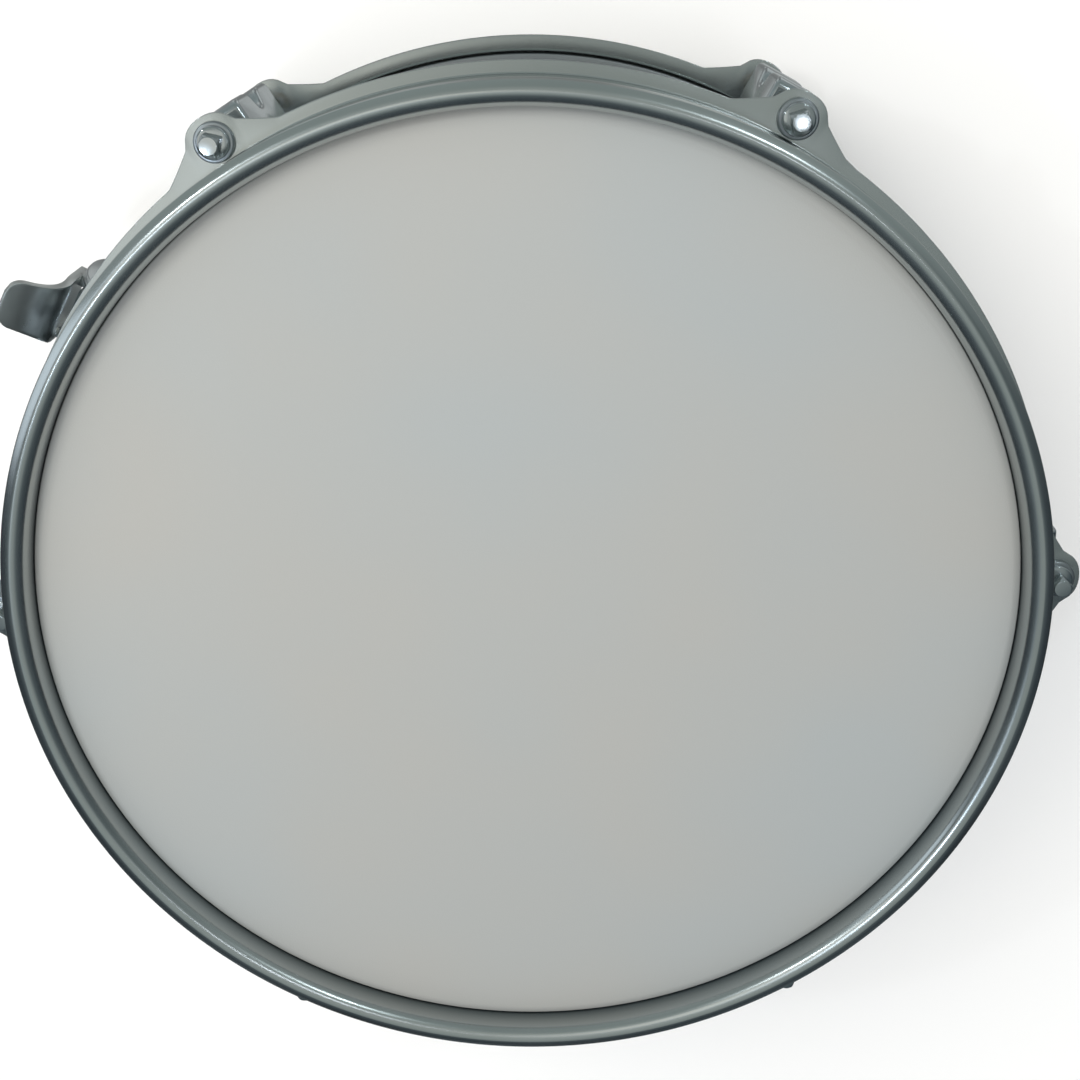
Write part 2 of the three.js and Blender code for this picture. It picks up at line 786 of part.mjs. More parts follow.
// A strip of even thickness along a curve in the side view
function strip(curve, thickness, steps) {
  const front = [];
  const back = [];
  for (let i = 0; i <= steps; i += 1) {
    const point = curve.getPoint(i / steps);
    const tangent = curve.getTangent(i / steps);
    front.push(new THREE.Vector2(point.x + tangent.y * thickness, point.y - tangent.x * thickness));
    back.unshift(point);
  }
  return new THREE.Shape([...front, ...back]);
}

function strainerLever() {
  const foot = pivotHeight + leverFoot;
  const bendStart = pivotHeight + leverStem;
  const bendEnd = pivotHeight + leverRise;
  const bend = new THREE.CubicBezierCurve(
    new THREE.Vector2(leverFront, bendStart),
    new THREE.Vector2(leverFront, (bendStart + bendEnd) / 2),
    new THREE.Vector2((leverFront + leverTipOut) / 2, bendEnd - leverSheet),
    new THREE.Vector2(leverTipOut - leverSheet / 2, bendEnd),
  );
  const stem = new THREE.LineCurve(
    new THREE.Vector2(leverFront, foot),
    new THREE.Vector2(leverFront, bendStart),
  );
  const side = strip(bend, leverSheet, curveSteps);
  const wide = leverHalf;
  const upper = solid(sideplate(side, -wide, wide));
  const lower = solid(sideplate(strip(stem, leverSheet, 1), -wide, wide));
  const tip = leverHalf - leverTaper;
  const front = new THREE.Shape();
  const peak = bendEnd + leverSheet;
  front.moveTo(-wide, foot);
  front.lineTo(wide, foot);
  front.lineTo(wide, bendStart - leverTipRounding);
  front.quadraticCurveTo(wide, bendStart, tip, peak - leverTipRounding);
  front.quadraticCurveTo(tip, peak, tip - leverTipRounding, peak);
  front.lineTo(leverTipRounding - tip, peak);
  front.quadraticCurveTo(-tip, peak, -tip, peak - leverTipRounding);
  front.quadraticCurveTo(-wide, bendStart, -wide, bendStart - leverTipRounding);
  const mask = solid(frontplate(front, leverFront - leverSheet, leverTipOut + leverSheet));
  let body = upper.add(lower).intersect(mask);
  [1, -1].forEach((end) => {
    const cam = span(end * wide, end * (wide - camThickness));
    body = body.add(solid(sideplate(camOutline(), ...cam)));
  });
  const bore = crossHole(pivotDiameter, pivotOut, pivotHeight, -wide - overrun, wide + overrun);
  return surface(body.subtract(solid(bore)));
}

function strainerCarriage() {
  const side = slabHalf - shelfMargin + turnGap;
  let body = solid(block(slabBack, slabFront, -slabHalf, slabHalf, carriageBottom, carriageTop));
  body = body.add(solid(block(slabInside, shelfReach, -side, side, shelfUnder, shelfTop)));
  const tower = rod(towerDiameter / 2, shelfTop - shelfThickness / 2, towerTop);
  body = body.add(solid(tower.translate(tensionScrewOut, 0, 0)));
  const under = shelfUnder - overrun;
  const bore = uprightHole(tensionScrewDiameter, tensionScrewOut, 0, under, towerTop + overrun);
  return surface(body.subtract(solid(bore)));
}

function tensionKnob() {
  const bottom = towerTop + turnGap;
  const neckTop = bottom + knobNeckHeight;
  const top = bottom + knobHeight;
  const radius = knobDiameter / 2;
  const shape = new THREE.Shape();
  for (let i = 0; i < knobFlutes * 2; i += 1) {
    const angle = (i / knobFlutes) * Math.PI;
    const r = i % 2 === 0 ? radius : radius - knobFluteDepth;
    if (i === 0) shape.moveTo(r, 0);
    else shape.lineTo(r * Math.cos(angle), r * Math.sin(angle));
  }
  const grip = new THREE.ExtrudeGeometry(shape, {
    depth: top - neckTop - 2 * knobChamfer,
    bevelEnabled: true,
    bevelThickness: knobChamfer,
    bevelSize: knobChamfer,
    bevelOffset: -knobChamfer,
    bevelSegments: 1,
  }).translate(0, 0, neckTop + knobChamfer);
  const stem = turned([
    [0, tensionScrewBottom],
    [tensionScrewDiameter / 2, tensionScrewBottom],
    [tensionScrewDiameter / 2, bottom],
    [knobNeckDiameter / 2, bottom],
    [knobNeckDiameter / 2, neckTop + knobChamfer],
    [0, neckTop + knobChamfer],
  ], smallSides);
  return joined(stem, grip);
}

function clampBlock() {
  const half = slabHalf;
  const nose = clampNoseWidth / 2;
  const noseFront = tensionScrewOut + tensionScrewDiameter / 2 + turnGap + clampNoseWall;
  const blockTop = clampNoseTop + clampBlockRise;
  const threadEnds = [clampNoseBottom - overrun, clampNoseTop + overrun];
  let body = solid(block(slabBack, slabFront, -half, half, clampBottom, blockTop));
  body = body.add(solid(block(slabInside, clampInner, -half, half, clampBottom, clampTop)));
  body = body.add(solid(block(slabInside, noseFront, -nose, nose, clampNoseBottom, clampNoseTop)));
  const thread = uprightHole(tensionScrewDiameter, tensionScrewOut, 0, ...threadEnds);
  body = body.subtract(solid(thread));
  clampScrewPlaces().forEach(([y, z]) => {
    const hole = radialHole(clampScrewDiameter, z, slabBack - overrun, clampInner + overrun);
    body = body.subtract(solid(hole.translate(0, y, 0)));
  });
  return surface(body);
}

function clampScrewPlaces() {
  const middle = clampBottom + clampHeight / 2;
  return [[clampScrewOffset, middle], [-clampScrewOffset, middle]];
}

// A clamp plate with its two screws, which pass beside the strap
function clampPlate(screwEnd) {
  const panel = roundedPanel(clampWidth, clampBottom, clampTop, clampCorner);
  const front = clampOuter + clampPlateThickness;
  let body = solid(frontplate(panel, clampOuter, front));
  clampScrewPlaces().forEach(([y, z]) => {
    const screw = turned([
      [0, screwEnd],
      [clampScrewDiameter / 2, screwEnd],
      [clampScrewDiameter / 2, front - clampPlateThickness / 2],
      [clampScrewHead / 2, front - clampPlateThickness / 2],
      [clampScrewHead / 2, front + clampScrewHeadHeight],
      [0, front + clampScrewHeadHeight],
    ], holeSides);
    body = body.add(solid(screw.rotateY(Math.PI / 2).translate(0, y, z)));
  });
  return body;
}

function strainerClampPlate() {
  return surface(clampPlate(slabBack + turnGap));
}

// The butt plate and its clamp plate are one piece, joined by the clamp's screws
function buttPlate() {
  const panel = roundedPanel(clampWidth + 2 * buttEar, clampBottom, buttTop, housingCorner);
  let body = solid(frontplate(panel, shellFlat - edgeInset, plateFace));
  const half = clampWidth / 2;
  const inside = plateFace - housingPlate / 2;
  const seatEnd = buttScrewHeight - studHeadDiameter / 2;
  const seat = new THREE.Shape();
  seat.moveTo(inside, clampBottom);
  seat.lineTo(clampInner, clampBottom);
  seat.lineTo(clampInner, clampTop);
  seat.quadraticCurveTo(plateFace + turnGap, clampTop, plateFace, seatEnd);
  seat.lineTo(inside, seatEnd);
  body = body.add(solid(sideplate(seat, -half, half)));
  body = body.add(clampPlate(clampInner - overrun));
  body = body.subtract(solid(shellSpace()));
  body = body.add(solid(shellStud(buttScrewHeight)));
  return surface(body);
}

const drum = new THREE.Group();

function place(parent, name, geometry, finish) {
  const mesh = new THREE.Mesh(geometry, new THREE.MeshStandardMaterial(finishes[finish]));
  mesh.name = name;
  parent.add(mesh);
  return mesh;
}

function turnedGroup(parent, angle, height = 0) {
  const group = new THREE.Group();
  group.rotation.z = angle;
  group.position.z = height;
  parent.add(group);
  return group;
}

function addEnd(end, name, film, filmFinish, gateAngles) {
  place(end, `${name}_head`, headFilm(film), filmFinish);
  place(end, `${name}_flesh_hoop`, fleshHoop(film), 'aluminium');
  place(end, `${name}_hoop`, hoopGeometry(gateAngles), 'hoop');
  for (let i = 0; i < lugCount; i += 1) {
    const station = turnedGroup(end, (i / lugCount) * Math.PI * 2);
    place(station, `${name}_rod_${i + 1}`, tensionRod(), 'rod').position.x = rodCircle;
    place(station, `${name}_washer_${i + 1}`, washer(), 'washer').position.x = rodCircle;
  }
}

place(drum, 'shell', shellGeometry(), 'shell');
place(turnedGroup(drum, ventAngle, shellMiddle), 'vent_grommet', ventGrommet(), 'grommet');

const batterEnd = turnedGroup(drum, 0, batterHeadFace);
addEnd(batterEnd, 'batter', batterFilm, 'coatedFilm', []);
const snareEnd = turnedGroup(drum, 0, snareHeadFace);
snareEnd.rotation.x = Math.PI;
addEnd(snareEnd, 'snare_side', snareFilm, 'clearFilm', [-strainerAngle, Math.PI - strainerAngle]);

for (let i = 0; i < lugCount; i += 1) {
  const station = turnedGroup(drum, (i / lugCount) * Math.PI * 2, shellMiddle);
  place(station, `lug_casing_${i + 1}`, lugCasing(), 'casting');
  place(station, `batter_swivel_nut_${i + 1}`, swivelNut(), 'brass').position.x = rodCircle;
  const lower = place(station, `snare_side_swivel_nut_${i + 1}`, swivelNut(), 'brass');
  lower.position.x = rodCircle;
  lower.rotation.x = Math.PI;
}

const strainerSide = turnedGroup(drum, strainerAngle);
place(strainerSide, 'strainer_housing', strainerHousing(), 'casting');
place(strainerSide, 'strainer_lever', strainerLever(), 'casting');
place(strainerSide, 'strainer_carriage', strainerCarriage(), 'casting');
place(strainerSide, 'tension_knob', tensionKnob().translate(tensionScrewOut, 0, 0), 'casting');
place(strainerSide, 'strainer_clamp_block', clampBlock(), 'casting');
place(strainerSide, 'strainer_clamp_plate', strainerClampPlate(), 'casting');
place(strainerSide, 'snare_wires', snareWires(), 'wire');
place(strainerSide, 'strainer_strap', snareStrap(), 'strap');

const buttSide = turnedGroup(drum, strainerAngle + Math.PI);
place(buttSide, 'butt_plate', buttPlate(), 'casting');
place(buttSide, 'butt_strap', snareStrap(), 'strap');

export default drum;
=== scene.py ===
import math

import bmesh
import bpy
from mathutils import Matrix, Vector


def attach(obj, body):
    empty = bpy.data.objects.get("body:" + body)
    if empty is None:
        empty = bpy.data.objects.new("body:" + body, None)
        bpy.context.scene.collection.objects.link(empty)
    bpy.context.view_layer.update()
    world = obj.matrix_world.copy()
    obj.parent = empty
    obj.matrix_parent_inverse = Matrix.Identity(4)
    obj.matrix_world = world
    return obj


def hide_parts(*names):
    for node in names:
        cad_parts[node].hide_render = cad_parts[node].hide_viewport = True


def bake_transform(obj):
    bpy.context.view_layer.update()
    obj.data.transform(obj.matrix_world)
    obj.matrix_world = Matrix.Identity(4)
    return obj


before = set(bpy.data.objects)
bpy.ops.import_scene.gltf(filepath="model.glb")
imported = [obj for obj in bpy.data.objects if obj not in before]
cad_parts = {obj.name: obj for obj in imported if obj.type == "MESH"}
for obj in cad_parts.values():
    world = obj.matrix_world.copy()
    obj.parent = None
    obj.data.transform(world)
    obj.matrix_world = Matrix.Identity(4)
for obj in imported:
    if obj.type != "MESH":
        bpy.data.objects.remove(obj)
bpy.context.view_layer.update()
print("frame loaded:", len(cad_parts), "nodes")

places = {
    "batterFace": 152.3,
    "snareFace": 11.0,
    "rodCircle": 196.0,
    "shellMiddle": 81.6,
    "strainer": -30.0,
    "butt": 150.0,
    "vent": 90.0,
    "stations": 6,
}
smoothAngle = 38.0


def metres(*values):
    return Vector([value / 1000 for value in values])


def pick(*pieces):
    bpy.ops.object.select_all(action="DESELECT")
    for piece in pieces:
        piece.select_set(True)
    bpy.context.view_layer.objects.active = pieces[0]


def startEdit(piece, select="SELECT"):
    pick(piece)
    bpy.ops.object.mode_set(mode="EDIT")
    bpy.ops.mesh.select_all(action=select)


def endEdit():
    bpy.ops.object.mode_set(mode="OBJECT")


def freshPiece(name):
    piece = bpy.context.active_object
    piece.name = name
    piece.data.name = name
    return piece


def settle(piece):
    pick(piece)
    bpy.ops.object.transform_apply(location=True, rotation=True, scale=True)
    return piece


def turn(piece, degrees, lift=0.0):
    piece.rotation_euler = (0, 0, math.radians(degrees))
    piece.location = metres(0, 0, lift)
    return settle(piece)


def smooth(piece, degrees=smoothAngle):
    pick(piece)
    bpy.ops.object.shade_smooth_by_angle(angle=math.radians(degrees))
    return piece


def applyModifier(piece, kind, **settings):
    pick(piece)
    modifier = piece.modifiers.new(kind.title(), kind)
    for key, value in settings.items():
        setattr(modifier, key, value)
    bpy.ops.object.modifier_apply(modifier=modifier.name)
    return piece


def roundEdges(piece, width, segments=3, limit=35.0):
    return applyModifier(
        piece, "BEVEL", width=width / 1000, segments=segments, limit_method="ANGLE",
        angle_limit=math.radians(limit))


def carve(piece, cutter, operation="DIFFERENCE"):
    applyModifier(piece, "BOOLEAN", object=cutter, operation=operation, solver="EXACT")
    bpy.data.objects.remove(cutter)
    return piece


def joinAll(name, parts):
    pick(*parts)
    if len(parts) > 1:
        bpy.ops.object.join()
    return freshPiece(name)


def copyOf(piece, name):
    pick(piece)
    bpy.ops.object.duplicate(linked=False)
    return freshPiece(name)


def tidyFaces(span=0.004):
    bpy.ops.mesh.select_all(action="SELECT")
    bpy.ops.mesh.remove_doubles(threshold=span / 1000)
    bpy.ops.mesh.normals_make_consistent(inside=False)


# Corners are (across, up, rounding); each rounding becomes an arc
def rounded(corners, step=12.0, closed=True):
    points = []
    count = len(corners)
    for index, corner in enumerate(corners):
        here = Vector(corner[:2])
        radius = corner[2] if len(corner) > 2 else 0
        if radius == 0 or (not closed and index in (0, count - 1)):
            points.append(here)
            continue
        before = (Vector(corners[index - 1][:2]) - here).normalized()
        after = (Vector(corners[(index + 1) % count][:2]) - here).normalized()
        bend = math.pi - before.angle(after)
        steps = max(2, math.ceil(math.degrees(bend) / step))
        centre = here + (before + after).normalized() * (radius / math.cos(bend / 2))
        start = here + before * (radius * math.tan(bend / 2)) - centre
        way = 1 if before.x * after.y - before.y * after.x < 0 else -1
        for i in range(steps + 1):
            angle = way * bend * i / steps
            points.append(centre + Vector((
                start.x * math.cos(angle) - start.y * math.sin(angle),
                start.x * math.sin(angle) + start.y * math.cos(angle))))
    return points


# One vertex is pulled out point by point into an outline
def drawLine(name, points, closed=True):
    bpy.ops.object.select_all(action="DESELECT")
    bpy.ops.mesh.primitive_plane_add(size=0.001)
    piece = freshPiece(name)
    bpy.ops.object.mode_set(mode="EDIT")
    bpy.ops.mesh.select_all(action="SELECT")
    bpy.ops.mesh.merge(type="CENTER")
    bpy.ops.transform.translate(value=points[0])
    path = list(points) + ([points[0]] if closed else [])
    for start, end in zip(path, path[1:]):
        bpy.ops.mesh.extrude_region_move(TRANSFORM_OT_translate={"value": end - start})
    bpy.ops.mesh.select_all(action="SELECT")
    if closed:
        bpy.ops.mesh.remove_doubles(threshold=0.000005)
        bpy.ops.mesh.select_all(action="SELECT")
    return piece


def spinLine(name, line, steps, closed, centre, axis):
    piece = drawLine(name, line, closed)
    bpy.ops.mesh.spin(steps=steps, angle=math.tau, use_auto_merge=True, center=centre, axis=axis)
    tidyFaces()
    endEdit()
    return piece


# A section in the x-z plane is spun once round an upright axis; one that starts on it stays open
def spun(name, corners, steps, axisX=0.0, step=12.0):
    closed = corners[0][0] > 0
    line = [metres(p.x + axisX, 0, p.y) for p in rounded(corners, step, closed)]
    return spinLine(name, line, steps, closed, metres(axisX, 0, 0), (0, 0, 1))


# The same, spun round an axis that points outwards: corners are (radius, x)
def spunOutwards(name, corners, steps, height=0.0, aside=0.0, step=12.0):
    closed = corners[0][0] > 0
    line = [metres(p.y, aside, p.x + height) for p in rounded(corners, step, closed)]
    return spinLine(name, line, steps, closed, metres(0, aside, height), (1, 0, 0))


# How an outline lies: seen from the side it is (x, z), from outside (y, z), from above (x, y)
views = {
    "side": lambda across, up, deep: metres(across, deep, up),
    "front": lambda across, up, deep: metres(deep, across, up),
    "top": lambda across, up, deep: metres(across, up, deep),
}


# A plate reaches from start to end along the way it is seen
def plate(view, name, points, start, end):
    lay = views[view]
    piece = drawLine(name, [lay(p.x, p.y, start) for p in points])
    bpy.ops.mesh.edge_face_add()
    bpy.ops.mesh.extrude_region_move(TRANSFORM_OT_translate={"value": lay(0, 0, end - start)})
    tidyFaces()
    endEdit()
    return piece


def panel(width, bottom, top, corner, step=15.0):
    half = width / 2
    return rounded(
        [(-half, bottom, corner), (half, bottom, corner), (half, top, corner),
        (-half, top, corner)], step)


def bezier(p0, p1, p2, p3, count):
    points = []
    for i in range(1, count + 1):
        t = i / count
        s = 1 - t
        points.append(Vector(p0) * s ** 3 + Vector(p1) * 3 * s * s * t
                      + Vector(p2) * 3 * s * t * t + Vector(p3) * t ** 3)
    return points


def drill(name, place, width, depth, vertices=48, rotation=(0, 0, 0)):
    bpy.ops.object.select_all(action="DESELECT")
    bpy.ops.mesh.primitive_cylinder_add(
        vertices=vertices, radius=width / 2000, depth=depth / 1000, location=place,
        rotation=rotation)
    return settle(freshPiece(name))


# The lower and the upper of two values on one side (1) or the other (-1) of the middle
def onSide(way, first, second):
    return sorted((way * first, way * second))


def block(name, low, high, edge=0.4, segments=2):
    bpy.ops.object.select_all(action="DESELECT")
    centre = (metres(*low) + metres(*high)) / 2
    bpy.ops.mesh.primitive_cube_add(size=1, location=centre, scale=metres(*high) - metres(*low))
    piece = settle(freshPiece(name))
    return roundEdges(piece, edge, segments) if edge else piece


def linear(hexColour):
    channels = []
    for i in (0, 2, 4):
        value = int(hexColour[i + 1:i + 3], 16) / 255
        channels.append(value / 12.92 if value <= 0.04045 else ((value + 0.055) / 1.055) ** 2.4)
    return (*channels, 1.0)


def addNode(tree, kind, inputs=None, **settings):
    node = tree.nodes.new(kind)
    for key, value in settings.items():
        setattr(node, key, value)
    for key, value in (inputs or {}).items():
        if isinstance(value, bpy.types.NodeSocket):
            tree.links.new(value, node.inputs[key])
        else:
            node.inputs[key].default_value = value
    return node


def newMaterial(name, look):
    material = bpy.data.materials.new(name)
    material.use_nodes = True
    tree = material.node_tree
    shader = tree.nodes["Principled BSDF"]
    shader.inputs["Base Color"].default_value = linear(look["colour"])
    shader.inputs["Metallic"].default_value = look.get("metallic", 0.0)
    shader.inputs["Roughness"].default_value = look["roughness"]
    return material, tree, shader


# Noise on Object coordinates, as large as so many millimetres
def grain(tree, size, detail=3.0):
    spot = addNode(tree, "ShaderNodeTexCoord")
    scaled = addNode(tree, "ShaderNodeMapping", {
        "Vector": spot.outputs["Object"], "Scale": (1000 / size, 1000 / size, 1000 / size)})
    return addNode(tree, "ShaderNodeTexNoise", {
        "Vector": scaled.outputs["Vector"], "Scale": 1.0, "Detail": detail})


def ranged(tree, source, low, high, fromLow=0.3, fromHigh=0.7):
    return addNode(tree, "ShaderNodeMapRange", {
        "Value": source, "From Min": fromLow, "From Max": fromHigh, "To Min": low, "To Max": high})


def mixTones(tree, share, first, second):
    mix = addNode(tree, "ShaderNodeMix", {"Factor": share, 6: first, 7: second}, data_type="RGBA")
    return mix.outputs[2]


def addBump(tree, shader, source, height):
    bump = addNode(tree, "ShaderNodeBump", {
        "Height": source, "Distance": height / 1000, "Strength": 1.0})
    tree.links.new(bump.outputs["Normal"], shader.inputs["Normal"])


# Chrome plate is a mirror with a slight blue cast, its haze changing from place to place
def makeChrome(name, colour, roughness, hazeSize, haze):
    look = {
        "colour": colour, "metallic": 1.0, "roughness": roughness, "hazeSize": hazeSize,
        "haze": haze}
    material, tree, shader = newMaterial(name, look)
    haze = grain(tree, look["hazeSize"])
    spread = ranged(tree, haze.outputs["Fac"], *look["haze"])
    tree.links.new(spread.outputs["Result"], shader.inputs["Roughness"])
    return material


# On the rolled shell and the vent the plate is clean and sharp
chromePlate = makeChrome("chromePlateOnSteel", "#cbd0cf", 0.11, 40, (0.08, 0.14))
# On the hoops it is dulled by handling, so the room smears into soft bands
hoopChrome = makeChrome("chromePlateOnHoops", "#cbd0cf", 0.24, 40, (0.21, 0.27))
# On zinc castings it is a little softer, because a casting is never quite flat
castChrome = makeChrome("chromePlateOnZinc", "#c6cccf", 0.16, 12, (0.12, 0.22))
# On the lever it is worn by fingers, so it is rougher and spreads a wider sheen; its colour is set
# paler than the other chrome as a painted sheen
wornChromeWithPaintedSheen = makeChrome("chromePlateOnLever", "#d4d8d8", 0.3, 9, (0.26, 0.34))
# On turned screws and rods it shows short, bright glints
screwChrome = makeChrome("chromePlateOnScrews", "#c2c8cb", 0.14, 5, (0.10, 0.20))

# Painted shade: inside the rim the plate is painted darker, darkest beside the head and lighter
# towards the crest
rimShadeLook = {
    "wall": 180.4, "fade": 1.6, "head": 70.6, "crest": 80.6, "dark": "#788184", "upper": "#bcc1c0"}


# Mixes painted shade into the hoop chrome's colour, on the wall inside the given radius
def paintShadeInsideRim(material, look):
    tree = material.node_tree
    spot = addNode(tree, "ShaderNodeTexCoord").outputs["Object"]
    flat = addNode(
        tree, "ShaderNodeVectorMath", {0: spot, 1: (1000.0, 1000.0, 0.0)}, operation="MULTIPLY")
    reach = addNode(tree, "ShaderNodeVectorMath", {0: flat.outputs[0]}, operation="LENGTH")
    inside = ranged(
        tree, reach.outputs["Value"], 1.0, 0.0, look["wall"], look["wall"] + look["fade"])
    parts = addNode(tree, "ShaderNodeSeparateXYZ", {"Vector": spot})
    level = addNode(tree, "ShaderNodeMath", {
        0: parts.outputs["Z"], 1: 1000.0, 2: -places["shellMiddle"]}, operation="MULTIPLY_ADD")
    height = addNode(tree, "ShaderNodeMath", {0: level.outputs[0]}, operation="ABSOLUTE")
    rise = ranged(tree, height.outputs[0], 0.0, 1.0, look["head"], look["crest"])
    # The dark tone is painted shade beside the head, the upper tone the lighter wall near the crest
    wall = mixTones(tree, rise.outputs["Result"], linear(look["dark"]), linear(look["upper"]))
    colour = tree.nodes["Principled BSDF"].inputs["Base Color"]
    whole = mixTones(tree, inside.outputs["Result"], tuple(colour.default_value), wall)
    tree.links.new(whole, colour)


paintShadeInsideRim(hoopChrome, rimShadeLook)

# Sprayed coating on polyester film: matt white, with a fine grit and very faint cloudiness
coatedLook = {
    "colour": "#a3a5a2", "roughness": 0.62, "grit": 0.55, "gritHeight": 0.035, "cloud": 160,
    "cloudTones": ("#a0a5a5", "#a6a5a0")}
coatedFilm, tree, shader = newMaterial("coatedPolyesterFilm", coatedLook)
cloud = grain(tree, coatedLook["cloud"], 2.0)
share = ranged(tree, cloud.outputs["Fac"], 0, 1).outputs["Result"]
tree.links.new(
    mixTones(tree, share, *(linear(tone) for tone in coatedLook["cloudTones"])),
    shader.inputs["Base Color"])
addBump(tree, shader, grain(tree, coatedLook["grit"], 2.0).outputs["Fac"], coatedLook["gritHeight"])

# Thin clear polyester, hazy: light passes, shapes behind it show softly
clearLook = {"colour": "#eef1f1", "roughness": 0.22, "clear": 0.82, "ior": 1.5}
clearFilm, tree, shader = newMaterial("hazyPolyesterFilm", clearLook)
shader.inputs["Transmission Weight"].default_value = clearLook["clear"]
shader.inputs["IOR"].default_value = clearLook["ior"]


def plainMetal(name, colour, roughness):
    return newMaterial(name, {"colour": colour, "metallic": 1.0, "roughness": roughness})


# Mill-finish aluminium channel, satin
aluminium, *_ = plainMetal("millAluminium", "#b9bbbd", 0.38)
# Machined brass, slightly dulled
brass, *_ = plainMetal("machinedBrass", "#c2a063", 0.3)
# Drawn carbon steel wire, nickel bright
wireSteel, *_ = plainMetal("drawnSteelWire", "#b5b8b9", 0.27)
# Stamped steel with a satin zinc finish, for washers and the wires' end plates
zincSteel, *_ = plainMetal("zincPlatedSteel", "#aab0b4", 0.3)
# Soft solder, dull and lumpy
solderLumps = {"size": 1.2, "height": 0.2}
solder, tree, shader = plainMetal("softSolder", "#9b9c9b", 0.45)
addBump(tree, shader, grain(tree, solderLumps["size"], 2.0).outputs["Fac"], solderLumps["height"])

# Woven polyester tape: white, with soft ribs about 5 mm apart along the upright part
waveLength = 0.314  # one wave of the pattern at scale 1, in metres
tapeLook = {"colour": "#d9d9d4", "roughness": 0.8, "rib": 5.03, "ribHeight": 0.08, "wander": 0.4}
tape, tree, shader = newMaterial("polyesterTape", tapeLook)
spot = addNode(tree, "ShaderNodeTexCoord")
ribs = addNode(tree, "ShaderNodeTexWave", {
    "Vector": spot.outputs["Object"], "Scale": waveLength * 1000 / tapeLook["rib"],
    "Distortion": tapeLook["wander"]}, bands_direction="Z")
addBump(tree, shader, ribs.outputs["Fac"], tapeLook["ribHeight"])
print("materials made")


def dress(piece, material, slot=None, body="drum", nodes=()):
    piece.data.materials.clear()
    piece.data.materials.append(material)
    if body:
        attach(piece, body)
    if nodes:
        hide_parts(*nodes)
    return piece


# Parts become one piece, which is turned to its place and dressed
def putUp(name, parts, azimuth, *looks):
    return dress(turn(joinAll(name, parts), azimuth), *looks)


def stationAngle(index):
    return 360.0 / places["stations"] * index


shellSizes = {
    "radius": 176.5, "wall": 1.2, "bottom": 11.6, "top": 151.6, "inset": 4.0, "edge": 1.7,
    "steps": 288, "bedDepth": 1.5, "bedLength": 110.0, "ventHole": 12.2, "drillDepth": 20.0}


def snareBed(angle):
    half = shellSizes["bedLength"] / 2 / shellSizes["radius"]
    off = abs(math.atan2(math.sin(2 * angle), math.cos(2 * angle)) / 2)
    return shellSizes["bedDepth"] * math.cos(off / half * math.pi / 2) ** 2 if off < half else 0.0


def makeShell():
    s = shellSizes
    outer, inner = s["radius"], s["radius"] - s["wall"]
    edge = outer - s["inset"]
    corners = [
        (outer, s["bottom"] + s["inset"], 2.5), (outer, s["top"] - s["inset"], 2.5),
        (edge, s["top"], 0.5), (edge - s["edge"], s["top"], 0.4),
        (inner, s["top"] - s["inset"] - 0.5, 1.3), (inner, s["bottom"] + s["inset"] + 0.5, 1.3),
        (edge - s["edge"], s["bottom"], 0.4), (edge, s["bottom"], 0.5)]
    shell = spun("shellTube", corners, s["steps"])
    for vertex in shell.data.vertices:
        if vertex.co.z < (s["bottom"] + 1.5) / 1000:
            angle = math.atan2(vertex.co.y, vertex.co.x) - math.radians(places["strainer"])
            vertex.co.z += snareBed(angle) / 1000
    middle = metres(0, outer, places["shellMiddle"])
    carve(
        shell, drill("ventDrill", middle, s["ventHole"], s["drillDepth"],
        rotation=(math.pi / 2, 0, 0)))
    smooth(shell)
    return dress(shell, chromePlate, "shell", "drum", ["shell"])


makeShell()

# Rolled eyelet of the air vent
ventSizes = {"bore": 5.0, "barrel": 6.1, "flange": 8.5, "inside": 173.9, "outside": 177.5}


def makeVent():
    v = ventSizes
    corners = [
        (v["bore"], v["inside"], 0.5), (v["flange"], v["inside"], 0.5),
        (v["flange"], v["inside"] + 1.1, 0.4), (v["barrel"], v["inside"] + 1.1, 0),
        (v["barrel"], v["outside"] - 1.3, 0), (v["flange"], v["outside"] - 1.3, 0.5),
        (v["flange"], v["outside"], 0.6), (v["bore"], v["outside"], 1.2)]
    vent = spunOutwards("ventEyelet", corners, 64, height=places["shellMiddle"])
    return dress(
        smooth(turn(vent, places["vent"])), chromePlate, "grommet", "drum", ["vent_grommet"])


makeVent()
print("shell and vent done")

ends = {
    "batter": {"face": places["batterFace"], "way": 1, "film": 0.4, "material": coatedFilm,
               "slot": "coated_film", "gates": ()},
    "snare_side": {"face": places["snareFace"], "way": -1, "film": 0.3, "material": clearFilm,
                   "slot": "clear_film", "gates": (places["strainer"], places["butt"])},
}


def toEnd(piece, end):
    # End pieces are drawn for the batter side; the other side is the same piece turned over
    if end["way"] < 0:
        piece.rotation_euler = (math.pi, 0, 0)
        settle(piece)
    piece.location = metres(0, 0, end["face"])
    return settle(piece)


filmSizes = {
    "flat": 177.2, "collar": 178.9, "skirt": 0.8, "shoulder": -0.8, "rim": -11.3, "steps": 240,
    "bend": 1.0}


def makeHead(name, end):
    f = filmSizes
    t = end["film"]
    outer = f["collar"] + f["skirt"]
    corners = [
        (0, 0, 0), (f["flat"], 0, 6.0), (outer, f["shoulder"], f["bend"]), (outer, f["rim"], 0),
        (f["collar"], f["rim"], 0), (f["collar"], f["shoulder"] - t, f["bend"] - f["skirt"]),
        (f["flat"], -t, 6.0), (0, -t, 0)]
    head = spun(name + "Head", corners, f["steps"])
    toEnd(smooth(head), end)
    return dress(head, end["material"], end["slot"], "drum", [name + "_head"])


fleshSizes = {
    "inner": 177.5, "outer": 185.5, "top": -6.3, "bottom": -14.3, "slotIn": 178.5, "slotOut": 179.5,
    "slotFloor": -11.6, "steps": 192}


